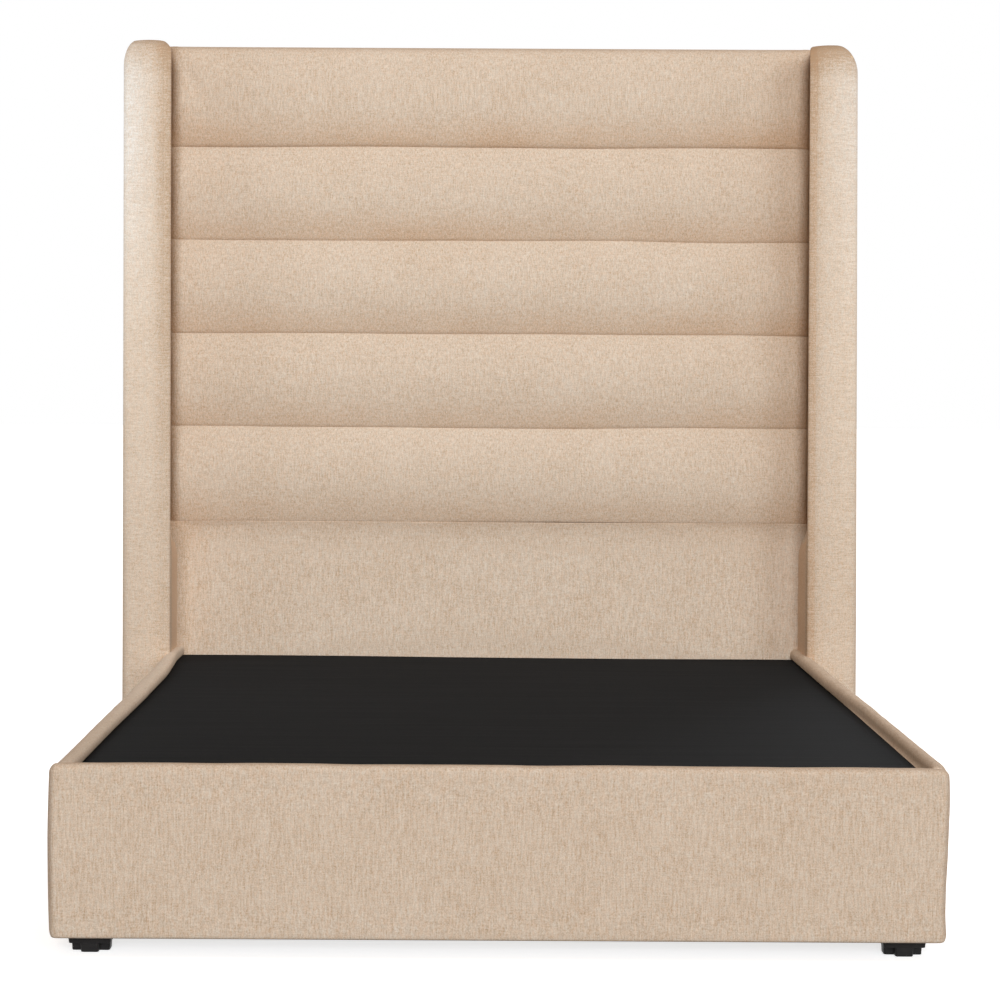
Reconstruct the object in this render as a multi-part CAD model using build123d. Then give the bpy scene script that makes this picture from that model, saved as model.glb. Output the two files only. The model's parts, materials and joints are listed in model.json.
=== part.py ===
from build123d import *
from math import hypot
import os

# Upholstered bed with a tall winged headboard, modelled in millimetres.
# +X is the right side seen from the foot, +Y points to the headboard, +Z is up.
# The origin lies on the floor under the middle of the bed.

# Mattress and the recess it lies in
mattress_width = 1524.0
mattress_length = 2032.0
mattress_clearance = 5.0
deck_recess = 25.0

# Rails of the base
foot_height = 34.0
rail_height = 311.0
rail_board_thickness = 18.0
rail_padding = 8.0
rail_top_padding = 20.0
rail_bottom_fold = 3.0
rail_bulge = 3.0
rail_roll_radius = 14.0
rail_hem_radius = 6.0
rail_corner_radius = 18.0

# Deck and what carries it
deck_cover_thickness = 1.5
deck_board_thickness = 12.0
deck_edge_clearance = 1.0
deck_joint_gap = 1.0
bearer_thickness = 25.0
bearer_width = 70.0
bearer_count = 5
bearer_end_clearance = 2.0
ledger_width = 30.0
ledger_height = 40.0
beam_width = 45.0
beam_height = 70.0

# Headboard
headboard_height = 1840.0
headboard_top_padding = 14.0
back_cover_thickness = 2.0
back_cover_inset = 1.0
frame_thickness = 40.0
stile_width = 60.0
frame_rail_height = 60.0
frame_foot_clearance = 30.0
panel_thickness = 9.0
mounting_board_height = 240.0
mounting_board_inset = 15.0

# Channelled padding of the headboard
channel_count = 5
channel_pitch = 232.8
top_channel_height = 245.0
channel_crown_depth = 62.0
channel_shoulder_depth = 52.0
channel_shoulder_height = 36.0
channel_shoulder_bow = 2.4
channel_seam_depth = 38.0
channel_end_fall = 6.0
channel_end_length = 70.0
top_edge_radius = 30.0
top_edge_depth = 54.0
lower_pad_depth = 24.0
lower_pad_end_fall = 3.0
lower_pad_tuck = 17.0
pad_gap = 0.4

# Wings
wing_depth = 265.0
wing_width = 119.0
wing_rail_lap = 25.0
wing_inner_padding = 32.0
wing_outer_padding = 14.0
wing_front_padding = 20.0
wing_top_padding = 28.0
wing_board_thickness = 12.0
wing_post_depth = 40.0
wing_spacer_height = 30.0
wing_outer_corner_radius = 46.0
wing_inner_corner_radius = 14.0
wing_edge_radius = 12.0
soft_clearance = 0.4

# Moulded corner feet
foot_width = 78.0
foot_plate_width = 100.0
foot_plate_thickness = 2.5
foot_block_height = 15.0
foot_block_radius = 6.0
foot_taper = 6.0
foot_lobe_width = 34.0
foot_lobe_trim = 4.0
foot_inset = 46.0
foot_screw_spread_x = 20.0
foot_screw_spread_y = 44.5
corner_block_length = 120.0
corner_block_width = 100.0
corner_block_height = 40.0

# Legs and levellers under the middle beam
leg_width = 45.0
leg_count = 2
leveller_pad_radius = 21.0
leveller_pad_height = 6.0
leveller_hex_width = 17.0
leveller_hex_height = 5.0
leveller_stem_radius = 5.0
leveller_stem_length = 50.0
leveller_seat_gap = 0.3
leveller_thread_clearance = 0.05
insert_flange_radius = 11.0
insert_flange_thickness = 2.0
insert_sleeve_radius = 7.0
insert_sleeve_length = 20.0
leg_bore_radius = 5.6
leg_bore_length = 56.0
dowel_radius = 4.0
dowel_length = 90.0

# Steel angles
bracket_thickness = 3.0
bracket_leg = 60.0
bracket_height = 100.0
bracket_lift = 70.0
bracket_screw_inset = 15.0
beam_bracket_width = 40.0

# Screws and bolts
hole_clearance = 0.2
screw_radius = 2.5
screw_head_radius = 5.0
screw_head_height = 2.5
board_screw_grip = 15.0
foot_screw_grip = 25.0
ledger_screw_grip = 12.0
ledger_screw_count = 6
ledger_screw_margin = 120.0
bolt_radius = 4.0
bolt_head_radius = 8.0
bolt_head_height = 5.0
nut_width = 13.0
nut_height = 6.5
bolt_tail = 3.0
head_bolt_count = 4
head_bolt_margin = 150.0
insert_nut_radius = 6.0
insert_nut_length = 18.0

# Places across the bed
deck_half = mattress_width / 2 + mattress_clearance
rail_board_inner = deck_half + rail_padding
rail_board_outer = rail_board_inner + rail_board_thickness
rail_outer = rail_board_outer + rail_padding
wing_inner = rail_outer - wing_rail_lap
wing_outer = wing_inner + wing_width
core_inner = wing_inner + wing_inner_padding
core_outer = wing_outer - wing_outer_padding
cavity_inner = core_inner + wing_board_thickness
cavity_outer = core_outer - wing_board_thickness
pad_half = wing_inner - pad_gap
frame_half = core_inner
stile_inner = frame_half - stile_width
mounting_half = deck_half - mounting_board_inset

# Places along the bed
deck_length = mattress_length + 2 * mattress_clearance
rail_thickness = rail_board_thickness + 2 * rail_padding
headboard_stack = lower_pad_depth + panel_thickness + frame_thickness + back_cover_thickness
bed_length = rail_bulge + rail_thickness + deck_length + headboard_stack
bed_front = rail_bulge - bed_length / 2
bed_back = bed_length / 2
foot_board_front = bed_front + rail_padding
foot_board_back = foot_board_front + rail_board_thickness
foot_cover_back = bed_front + rail_thickness
frame_back = bed_back - back_cover_thickness
frame_front = frame_back - frame_thickness
panel_front = frame_front - panel_thickness
pad_front = panel_front - lower_pad_depth
head_board_front = pad_front - rail_board_thickness
rail_end = pad_front - pad_gap
wing_front = bed_back - wing_depth
core_front = wing_front + wing_front_padding

# Heights
rail_bottom = foot_height
rail_top = rail_bottom + rail_height
board_bottom = rail_bottom + rail_bottom_fold
board_top = rail_top - rail_top_padding
deck_top = rail_top - deck_recess
deck_board_top = deck_top - deck_cover_thickness
deck_board_bottom = deck_board_top - deck_board_thickness
bearer_bottom = deck_board_bottom - bearer_thickness
ledger_bottom = bearer_bottom - ledger_height
beam_bottom = bearer_bottom - beam_height
inner_turn_bottom = deck_board_bottom + soft_clearance
frame_bottom = rail_bottom + frame_foot_clearance
frame_top = headboard_height - headboard_top_padding
core_bottom = rail_bottom
core_top = headboard_height - wing_top_padding
lower_pad_top = headboard_height - top_channel_height - (channel_count - 1) * channel_pitch
lower_pad_bottom = deck_top - lower_pad_tuck
bracket_bottom = rail_bottom + bracket_lift
bracket_top = bracket_bottom + bracket_height
leveller_top = leveller_pad_height + leveller_hex_height
insert_bottom = leveller_top + leveller_seat_gap
leg_bottom = insert_bottom + insert_flange_thickness
mounting_top = lower_pad_bottom - pad_gap
mounting_bottom = mounting_top - mounting_board_height


def block(x0, x1, y0, y1, z0, z1):
    """A plain box between two corners."""
    middle = Pos((x0 + x1) / 2, (y0 + y1) / 2, (z0 + z1) / 2)
    return middle * Box(x1 - x0, y1 - y0, z1 - z0)


def rod_x(x0, x1, y, z, radius):
    """A round bar along X."""
    return Pos((x0 + x1) / 2, y, z) * Rot(0, 90, 0) * Cylinder(radius, x1 - x0)


def rod_y(x, y0, y1, z, radius):
    """A round bar along Y."""
    return Pos(x, (y0 + y1) / 2, z) * Rot(90, 0, 0) * Cylinder(radius, y1 - y0)


def rod_z(x, y, z0, z1, radius):
    """A round bar along Z."""
    return Pos(x, y, (z0 + z1) / 2) * Cylinder(radius, z1 - z0)


def prism_x(face, x0, x1):
    """A Y and Z outline drawn out along X."""
    return extrude(Pos(x0, 0, 0) * (Plane.YZ * face), amount=x1 - x0, dir=(1, 0, 0))


def prism_y(face, y0, y1):
    """An X and Z outline drawn out along Y."""
    return extrude(Pos(0, y0, 0) * (Plane.XZ * face), amount=y1 - y0, dir=(0, 1, 0))


def prism_z(face, z0, z1):
    """An X and Y outline drawn out along Z."""
    return extrude(Pos(0, 0, z0) * face, amount=z1 - z0, dir=(0, 0, 1))


def other_side(shape):
    """The same piece on the opposite side of the bed."""
    return mirror(shape, about=Plane.YZ)


def both_sides(shapes):
    """A list of pieces with their mirror images."""
    return list(shapes) + [other_side(shape) for shape in shapes]


def spread(first, last, count):
    """Evenly spaced places from first to last."""
    step = (last - first) / (count - 1)
    return [first + step * index for index in range(count)]


def save(name, shape):
    """Write one named piece, or one group of like pieces."""
    piece = Compound(children=shape) if isinstance(shape, list) else shape
    export_step(piece, f"parts/{name}.step")


# Outlines of the padded rails


def rail_outline(grow=0.0):
    """Section of the right rail: rolled top, slightly bowed outside, hemmed foot."""
    inner = deck_half - grow
    outer = rail_outer + grow
    low = rail_bottom - grow
    high = rail_top + grow
    roll = rail_roll_radius + grow
    hem = rail_hem_radius
    middle = (low + high) / 2
    return make_face([
        Line((inner, low), (outer - hem, low)),
        CenterArc((outer - hem, low + hem), hem, 270, 90),
        ThreePointArc((outer, low + hem), (outer + rail_bulge, middle), (outer, high - roll)),
        CenterArc((outer - roll, high - roll), roll, 0, 90),
        Line((outer - roll, high), (inner + roll, high)),
        CenterArc((inner + roll, high - roll), roll, 90, 90),
        Line((inner, high - roll), (inner, low)),
    ])


def foot_outline():
    """Section of the foot rail, bowed towards the viewer."""
    roll = rail_roll_radius
    hem = rail_hem_radius
    middle = (rail_bottom + rail_top) / 2
    return make_face([
        Line((foot_cover_back, rail_bottom), (bed_front + hem, rail_bottom)),
        CenterArc((bed_front + hem, rail_bottom + hem), hem, 270, -90),
        ThreePointArc(
            (bed_front, rail_bottom + hem),
            (bed_front - rail_bulge, middle),
            (bed_front, rail_top - roll),
        ),
        CenterArc((bed_front + roll, rail_top - roll), roll, 180, -90),
        Line((bed_front + roll, rail_top), (foot_cover_back - roll, rail_top)),
        CenterArc((foot_cover_back - roll, rail_top - roll), roll, 90, -90),
        Line((foot_cover_back, rail_top - roll), (foot_cover_back, rail_bottom)),
    ])


def foot_front_view():
    """Face of the foot rail with its soft corners."""
    face = Pos(0, (rail_bottom + rail_top) / 2) * Rectangle(2 * rail_outer, rail_height)
    return fillet(face.vertices(), rail_corner_radius)


def foot_plan():
    """Plan of the foot rail with its two rounded front corners."""
    low = bed_front - 2 * rail_bulge
    depth = foot_cover_back - low
    face = Pos(0, low + depth / 2) * Rectangle(2 * rail_outer, depth)
    front = face.vertices().sort_by(Axis.Y)[0:2]
    return fillet(front, rail_corner_radius)


def make_foot_rail_cover():
    """Padded cloth round the foot board, open inside below the deck."""
    cover = prism_x(foot_outline(), -rail_outer, rail_outer)
    cover = cover & prism_y(foot_front_view(), bed_front - 2 * rail_bulge, foot_cover_back)
    cover = cover & prism_z(foot_plan(), rail_bottom, rail_top)
    half = rail_board_outer
    cover -= block(-half, half, foot_board_front, foot_board_back, board_bottom, board_top)
    cover -= block(-half, half, foot_board_back, foot_cover_back, rail_bottom, inner_turn_bottom)
    entry = block(
        rail_board_inner, half, foot_board_back, foot_cover_back, board_bottom, board_top
    )
    for shape in both_sides([entry]):
        cover -= shape
    return cover


def make_side_rail_cover():
    """Padded cloth round the right side board, open inside below the deck."""
    cover = prism_y(rail_outline(), foot_cover_back + pad_gap, rail_end)
    cover -= block(
        rail_board_inner, rail_board_outer, bed_front, bed_back, board_bottom, board_top
    )
    cover -= block(deck_half, rail_board_inner, bed_front, bed_back, rail_bottom, inner_turn_bottom)
    return cover


# Boards of the base


def make_foot_rail_board():
    """Plywood board inside the foot rail."""
    half = rail_board_outer
    return block(-half, half, foot_board_front, foot_board_back, board_bottom, board_top)


def make_side_rail_board():
    """Plywood board inside the right side rail."""
    return block(
        rail_board_inner, rail_board_outer, foot_board_back, rail_end, board_bottom, board_top
    )


def make_head_rail_board():
    """Bare cross board that joins the two side boards at the headboard."""
    half = rail_board_inner
    return block(-half, half, head_board_front, pad_front, board_bottom, deck_board_bottom)


def make_side_ledger():
    """Timber strip on the inside of the right side board."""
    inner = rail_board_inner - ledger_width
    return block(
        inner, rail_board_inner, foot_board_back, head_board_front, ledger_bottom, bearer_bottom
    )


bearer_half = deck_half - bearer_end_clearance


def make_foot_ledger():
    """Timber strip that carries the foot edge of the deck."""
    back = foot_board_back + ledger_width
    return block(
        -bearer_half, bearer_half, foot_board_back, back, bearer_bottom, deck_board_bottom
    )


def make_cross_bearers():
    """Flat timbers from ledger to ledger under the deck."""
    first = foot_board_back + ledger_width
    places = spread(first, head_board_front, bearer_count + 2)[1:-1]
    half = bearer_width / 2
    return [
        block(-bearer_half, bearer_half, y - half, y + half, bearer_bottom, deck_board_bottom)
        for y in places
    ]


def make_centre_beam():
    """Timber along the middle of the bed."""
    half = beam_width / 2
    return block(-half, half, foot_board_back, head_board_front, beam_bottom, bearer_bottom)


deck_front = foot_cover_back + deck_edge_clearance
deck_back = pad_front - deck_edge_clearance
deck_side = deck_half - deck_edge_clearance


def make_deck_boards():
    """Two plywood halves of the deck, meeting across the bed."""
    side = deck_side - deck_cover_thickness
    front = deck_front + deck_cover_thickness
    back = deck_back - deck_cover_thickness
    middle = (front + back) / 2
    gap = deck_joint_gap / 2
    foot_half = block(-side, side, front, middle - gap, deck_board_bottom, deck_board_top)
    head_half = block(-side, side, middle + gap, back, deck_board_bottom, deck_board_top)
    return foot_half, head_half


def make_deck_cover():
    """Black cloth drawn over the deck and down its edges."""
    side = deck_side - deck_cover_thickness
    front = deck_front + deck_cover_thickness
    back = deck_back - deck_cover_thickness
    cover = block(-deck_side, deck_side, deck_front, deck_back, deck_board_bottom, deck_top)
    return cover - block(-side, side, front, back, deck_board_bottom, deck_board_top)


# Steel angles and the screws that hold them


def make_corner_brackets():
    """Angles in the four inside corners of the base."""
    inner = rail_board_inner - bracket_thickness
    reach = rail_board_inner - bracket_leg
    z0, z1 = bracket_bottom, bracket_top
    foot_leg = block(
        reach, rail_board_inner, foot_board_back, foot_board_back + bracket_thickness, z0, z1
    )
    foot_side = block(
        inner, rail_board_inner, foot_board_back, foot_board_back + bracket_leg, z0, z1
    )
    head_leg = block(
        reach, rail_board_inner, head_board_front - bracket_thickness, head_board_front, z0, z1
    )
    head_side = block(
        inner, rail_board_inner, head_board_front - bracket_leg, head_board_front, z0, z1
    )
    return both_sides([foot_leg + foot_side, head_leg + head_side])


def make_beam_brackets():
    """Angles that carry the two ends of the middle beam."""
    half = beam_bracket_width / 2
    low = beam_bottom - bracket_leg
    seat = beam_bottom - bracket_thickness
    foot_end = foot_board_back
    head_end = head_board_front
    foot_wall = block(-half, half, foot_end, foot_end + bracket_thickness, low, beam_bottom)
    foot_seat = block(-half, half, foot_end, foot_end + bracket_leg, seat, beam_bottom)
    head_wall = block(-half, half, head_end - bracket_thickness, head_end, low, beam_bottom)
    head_seat = block(-half, half, head_end - bracket_leg, head_end, seat, beam_bottom)
    return [foot_wall + foot_seat, head_wall + head_seat]


def screw(place, direction, grip, grow=0.0):
    """Pan-head screw: the head rests on the surface at place, the shank goes in."""
    head = Pos(0, 0, screw_head_height / 2) * Cylinder(screw_head_radius, screw_head_height)
    shank = Pos(0, 0, -(grip + grow) / 2) * Cylinder(screw_radius + grow, grip + grow)
    shape = shank if grow else head + shank
    return Location(Plane(origin=place, z_dir=direction)) * shape


def bracket_screw_places():
    """Where the screws of all steel angles go in, and how they point."""
    places = []
    low = bracket_bottom + bracket_screw_inset
    high = bracket_top - bracket_screw_inset
    side = rail_board_inner - bracket_thickness
    across = rail_board_inner - bracket_leg + bracket_screw_inset
    along_foot = foot_board_back + bracket_leg - bracket_screw_inset
    along_head = head_board_front - bracket_leg + bracket_screw_inset
    foot_face = foot_board_back + bracket_thickness
    head_face = head_board_front - bracket_thickness
    for sign in (1, -1):
        for z in (low, high):
            places.append(((sign * side, along_foot, z), (-sign, 0, 0)))
            places.append(((sign * side, along_head, z), (-sign, 0, 0)))
            places.append(((sign * across, foot_face, z), (0, 1, 0)))
            places.append(((sign * across, head_face, z), (0, -1, 0)))
    under = beam_bottom - bracket_thickness
    wall = beam_bottom - bracket_leg + bracket_screw_inset
    for x in (-beam_bracket_width / 4, beam_bracket_width / 4):
        places.append(((x, foot_face, wall), (0, 1, 0)))
        places.append(((x, head_face, wall), (0, -1, 0)))
        places.append(((x, along_foot, under), (0, 0, -1)))
        places.append(((x, along_head, under), (0, 0, -1)))
    return places


def ledger_screw_places():
    """Where the ledgers are screwed to the boards."""
    places = []
    face = rail_board_inner - ledger_width
    z = (ledger_bottom + bearer_bottom) / 2
    first = foot_board_back + ledger_screw_margin
    last = head_board_front - ledger_screw_margin
    for y in spread(first, last, ledger_screw_count):
        places.append(((face, y, z), (-1, 0, 0)))
        places.append(((-face, y, z), (1, 0, 0)))
    level = (bearer_bottom + deck_board_bottom) / 2
    end = bearer_half - ledger_screw_margin
    for x in spread(-end, end, ledger_screw_count):
        places.append(((x, foot_board_back + ledger_width, level), (0, 1, 0)))
    return places


bracket_grip = board_screw_grip + bracket_thickness
ledger_grip = ledger_width + ledger_screw_grip


# Moulded feet


def make_foot(x, y):
    """Low black foot: thin plate, square block and a cross of lobes on the floor."""
    plate_low = foot_height - foot_plate_thickness
    block_low = plate_low - foot_block_height
    plate = extrude(
        Pos(0, 0, plate_low) * RectangleRounded(foot_plate_width, foot_plate_width, foot_block_radius),
        amount=foot_plate_thickness,
    )
    body = extrude(
        Pos(0, 0, plate_low) * RectangleRounded(foot_width, foot_width, foot_block_radius),
        amount=-foot_block_height,
        taper=foot_taper,
    )
    reach = foot_width - 2 * foot_lobe_trim
    lobe = RectangleRounded(foot_lobe_width, reach, foot_block_radius)
    cross = lobe + Rot(0, 0, 90) * lobe
    lobes = extrude(Pos(0, 0, block_low) * cross, amount=-block_low)
    foot = plate + body + lobes
    for place in foot_screw_offsets():
        foot -= rod_z(
            place[0], place[1], plate_low, foot_height, screw_radius + hole_clearance
        )
    return Pos(x, y, 0) * foot


def foot_screw_offsets():
    """Screws stand in the free strips of the plate, before and behind the block."""
    return [
        (sx * foot_screw_spread_x, sy * foot_screw_spread_y)
        for sx in (-1, 1)
        for sy in (-1, 1)
    ]


base_foot_x = rail_board_inner - foot_inset
base_foot_y = foot_board_back + corner_block_length / 2
wing_foot_x = (core_inner + core_outer) / 2
wing_foot_y = (core_front + frame_back) / 2
foot_grip = foot_plate_thickness + foot_screw_grip


def make_corner_block():
    """Timber in the right foot corner that the foot is screwed to."""
    inner = rail_board_inner - corner_block_width
    back = foot_board_back + corner_block_length
    top = rail_bottom + corner_block_height
    return block(inner, rail_board_inner, foot_board_back, back, rail_bottom, top)


def foot_screw_places():
    """Where the screws of the four feet go in, from below."""
    places = []
    level = foot_height - foot_plate_thickness
    for x, y in ((base_foot_x, base_foot_y), (wing_foot_x, wing_foot_y)):
        for sign in (1, -1):
            for dx, dy in foot_screw_offsets():
                places.append(((sign * x + dx, y + dy, level), (0, 0, -1)))
    return places


# Legs and levellers under the middle of the bed


def leg_places():
    """Places of the middle legs along the beam."""
    return spread(foot_board_back, head_board_front, leg_count + 2)[1:-1]


def make_leg(y):
    """Square timber leg, bored for its leveller and its dowel."""
    half = leg_width / 2
    leg = block(-half, half, y - half, y + half, leg_bottom, beam_bottom)
    leg -= rod_z(0, y, leg_bottom, leg_bottom + leg_bore_length, leg_bore_radius)
    sleeve = insert_sleeve_radius + hole_clearance
    leg -= rod_z(0, y, leg_bottom, leg_bottom + insert_sleeve_length, sleeve)
    return leg - dowel(y, hole_clearance)


def dowel(y, grow=0.0):
    """Dowel that pins a leg to the beam above it."""
    half = dowel_length / 2 + grow
    return rod_z(0, y, beam_bottom - half, beam_bottom + half, dowel_radius + grow)


def make_insert(y):
    """Threaded steel insert in the foot of a leg."""
    flange = rod_z(0, y, insert_bottom, leg_bottom, insert_flange_radius)
    sleeve = rod_z(0, y, leg_bottom, leg_bottom + insert_sleeve_length, insert_sleeve_radius)
    bore = leveller_stem_radius + leveller_thread_clearance
    return flange + sleeve - rod_z(0, y, insert_bottom, leg_bottom + insert_sleeve_length, bore)


def make_leveller(y):
    """Screw leveller: round pad, hexagon for a spanner and a stem."""
    pad = rod_z(0, y, 0, leveller_pad_height, leveller_pad_radius)
    rim = pad.edges().filter_by(GeomType.CIRCLE).sort_by(Axis.Z)[-1]
    pad = chamfer(rim, leveller_pad_height / 3)
    hexagon = RegularPolygon(leveller_hex_width / 2, 6, major_radius=False)
    collar = extrude(Pos(0, y, leveller_pad_height) * hexagon, amount=leveller_hex_height)
    stem_top = leveller_top + leveller_stem_length
    return pad + collar + rod_z(0, y, leveller_top, stem_top, leveller_stem_radius)


# Headboard frame


def make_stile():
    """Right upright of the headboard frame."""
    return block(stile_inner, frame_half, frame_front, frame_back, frame_bottom, frame_top)


def frame_rail_places():
    """Undersides of the cross rails: at the foot, behind two of the seams, at the top."""
    last_seam = seam_height(channel_count - 1) - frame_rail_height / 2
    middle_seam = seam_height(channel_count // 2) - frame_rail_height / 2
    return [frame_bottom, last_seam, middle_seam, frame_top - frame_rail_height]


def make_frame_rails():
    """Cross rails of the headboard frame, the top one last."""
    return [
        block(-stile_inner, stile_inner, frame_front, frame_back, z, z + frame_rail_height)
        for z in frame_rail_places()
    ]


def make_headboard_panel():
    """Plywood sheet that the padding is built on."""
    return block(-frame_half, frame_half, panel_front, frame_front, frame_bottom, frame_top)


def make_mounting_board():
    """Thick board below the padding that the base is bolted to."""
    return block(
        -mounting_half, mounting_half, pad_front, panel_front, mounting_bottom, mounting_top
    )


def make_back_cover():
    """Plain cloth stretched over the back, round at the top corners."""
    outer = wing_outer - back_cover_inset
    low = rail_bottom + back_cover_inset
    high = headboard_height - back_cover_inset
    radius = wing_outer_corner_radius
    face = make_face([
        Line((-outer, low), (outer, low)),
        Line((outer, low), (outer, high - radius)),
        CenterArc((outer - radius, high - radius), radius, 0, 90),
        Line((outer - radius, high), (radius - outer, high)),
        CenterArc((radius - outer, high - radius), radius, 90, 90),
        Line((-outer, high - radius), (-outer, low)),
    ])
    return prism_y(face, frame_back, bed_back)


# Padding of the headboard


def pad_loft(section):
    """A pad across the headboard, drawn in a little towards both wings."""
    inner = pad_half - channel_end_length
    stations = ((-pad_half, True), (-inner, False), (inner, False), (pad_half, True))
    faces = [Pos(x, 0, 0) * (Plane.YZ * section(at_end)) for x, at_end in stations]
    return loft(faces, ruled=True)


def seam_height(index):
    """Height of the seam under a channel, counted from the top channel."""
    return lower_pad_top + (channel_count - 1 - index) * channel_pitch


def bowed(start, end, bow):
    """Arc between two points of a pad section, bowed outwards on the way up."""
    along, up = end[0] - start[0], end[1] - start[1]
    length = hypot(along, up)
    middle_y = (start[0] + end[0]) / 2 - up / length * bow
    middle_z = (start[1] + end[1]) / 2 + along / length * bow
    return ThreePointArc(start, (middle_y, middle_z), end)


def make_channel_pad(index):
    """One crowned channel between two seams."""
    low = seam_height(index) + pad_gap / 2
    high = seam_height(index - 1) - pad_gap / 2
    seam = panel_front - channel_seam_depth

    def section(at_end):
        fall = channel_end_fall if at_end else 0.0
        crown = panel_front - channel_crown_depth + fall
        shoulder = panel_front - channel_shoulder_depth + fall
        lower_shoulder = (shoulder, low + channel_shoulder_height)
        upper_shoulder = (shoulder, high - channel_shoulder_height)
        return make_face([
            Line((panel_front, low), (seam, low)),
            bowed((seam, low), lower_shoulder, channel_shoulder_bow),
            ThreePointArc(lower_shoulder, (crown, (low + high) / 2), upper_shoulder),
            bowed(upper_shoulder, (seam, high), channel_shoulder_bow),
            Line((seam, high), (panel_front, high)),
            Line((panel_front, high), (panel_front, low)),
        ])

    return pad_loft(section)


def make_top_channel_pad():
    """The highest channel, which also turns over the top of the headboard."""
    low = seam_height(0) + pad_gap / 2
    seam = panel_front - channel_seam_depth
    turn_height = headboard_height - top_edge_radius

    def section(at_end):
        fall = channel_end_fall if at_end else 0.0
        crown = panel_front - channel_crown_depth + fall
        shoulder = panel_front - channel_shoulder_depth + fall
        edge = panel_front - top_edge_depth + fall
        turn = edge + top_edge_radius
        lower_shoulder = (shoulder, low + channel_shoulder_height)
        return make_face([
            Line((panel_front, low), (seam, low)),
            bowed((seam, low), lower_shoulder, channel_shoulder_bow),
            ThreePointArc(lower_shoulder, (crown, (low + turn_height) / 2), (edge, turn_height)),
            CenterArc((turn, turn_height), top_edge_radius, 180, -90),
            Line((turn, headboard_height), (frame_back, headboard_height)),
            Line((frame_back, headboard_height), (frame_back, frame_top)),
            Line((frame_back, frame_top), (panel_front, frame_top)),
            Line((panel_front, frame_top), (panel_front, low)),
        ])

    return pad_loft(section)


def make_lower_pad():
    """Thin flat padding between the last seam and the deck."""
    high = lower_pad_top - pad_gap / 2

    def section(at_end):
        front = panel_front - lower_pad_depth + (lower_pad_end_fall if at_end else 0.0)
        return make_face([
            Line((panel_front, lower_pad_bottom), (front, lower_pad_bottom)),
            Line((front, lower_pad_bottom), (front, high)),
            Line((front, high), (panel_front, high)),
            Line((panel_front, high), (panel_front, lower_pad_bottom)),
        ])

    return pad_loft(section)


# Wings


def wing_front_view():
    """Face of the right wing: wide curve outside, small curve inside."""
    outer_radius = wing_outer_corner_radius
    inner_radius = wing_inner_corner_radius
    top = headboard_height
    return make_face([
        Line((wing_inner, core_bottom), (wing_outer, core_bottom)),
        Line((wing_outer, core_bottom), (wing_outer, top - outer_radius)),
        CenterArc((wing_outer - outer_radius, top - outer_radius), outer_radius, 0, 90),
        Line((wing_outer - outer_radius, top), (wing_inner + inner_radius, top)),
        CenterArc((wing_inner + inner_radius, top - inner_radius), inner_radius, 90, 90),
        Line((wing_inner, top - inner_radius), (wing_inner, core_bottom)),
    ])


def wing_plan():
    """Plan of the right wing with its two soft front corners."""
    middle = ((wing_inner + wing_outer) / 2, (wing_front + frame_back) / 2)
    face = Pos(*middle) * Rectangle(wing_width, frame_back - wing_front)
    return fillet(face.vertices().sort_by(Axis.Y)[0:2], wing_edge_radius)


def wing_side_view():
    """Side of a wing with its soft front top corner."""
    radius = wing_edge_radius
    top = headboard_height
    return make_face([
        Line((frame_back, core_bottom), (wing_front, core_bottom)),
        Line((wing_front, core_bottom), (wing_front, top - radius)),
        CenterArc((wing_front + radius, top - radius), radius, 180, -90),
        Line((wing_front + radius, top), (frame_back, top)),
        Line((frame_back, top), (frame_back, core_bottom)),
    ])


def make_wing_cover():
    """Padded cloth over the right wing, recessed where the side rail presses in."""
    cover = prism_y(wing_front_view(), wing_front, frame_back)
    cover = cover & prism_z(wing_plan(), core_bottom, headboard_height)
    cover = cover & prism_x(wing_side_view(), wing_inner, wing_outer)
    cover -= block(core_inner, core_outer, core_front, bed_back, rail_bottom, core_top)
    frame_room = frame_top + soft_clearance
    panel_room = panel_front - soft_clearance
    cover -= block(wing_inner, core_inner, panel_room, bed_back, rail_bottom, frame_room)
    cover -= prism_y(rail_outline(soft_clearance), bed_front, pad_front + soft_clearance)
    return cover


def make_wing_boards():
    """Inner and outer plywood sides of the right wing."""
    inner = block(core_inner, cavity_inner, core_front, frame_back, core_bottom, core_top)
    outer = block(cavity_outer, core_outer, core_front, frame_back, core_bottom, core_top)
    return inner, outer


post_back = core_front + wing_post_depth


def make_wing_post():
    """Upright behind the front padding of the right wing."""
    return block(cavity_inner, cavity_outer, core_front, post_back, core_bottom, core_top)


def make_wing_spacers():
    """Short blocks between the sides of the right wing: over the foot and beside the cross rails."""
    rise = (frame_rail_height - wing_spacer_height) / 2
    places = [core_bottom] + [z + rise for z in frame_rail_places()[1:]]
    return [
        block(cavity_inner, cavity_outer, post_back, frame_back, z, z + wing_spacer_height)
        for z in places
    ]


# Bolts of the wings and of the base


def wing_bolt_places():
    """Heights of the bolts into one wing: midway between the cross rails."""
    lows = frame_rail_places()
    tops = [low + frame_rail_height for low in lows]
    return [(top + following) / 2 for top, following in zip(tops, lows[1:])]


wing_bolt_y = (frame_front + frame_back) / 2


def wing_bolt(z):
    """Bolt from inside the headboard into the right wing."""
    head = rod_x(stile_inner - bolt_head_height, stile_inner, wing_bolt_y, z, bolt_head_radius)
    tip = cavity_inner + nut_height + bolt_tail
    return head + rod_x(stile_inner, tip, wing_bolt_y, z, bolt_radius)


def wing_bolt_hole(z):
    """Clear hole for a wing bolt."""
    return rod_x(stile_inner, cavity_inner, wing_bolt_y, z, bolt_radius + hole_clearance)


def wing_nut(z):
    """Hexagon nut inside the right wing."""
    hexagon = RegularPolygon(nut_width / 2, 6, major_radius=False)
    nut = extrude(hexagon, amount=nut_height) - Cylinder(bolt_radius + hole_clearance, 3 * nut_height)
    return Pos(cavity_inner, wing_bolt_y, z) * Rot(0, 90, 0) * nut


head_bolt_z = (mounting_bottom + mounting_top) / 2


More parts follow.
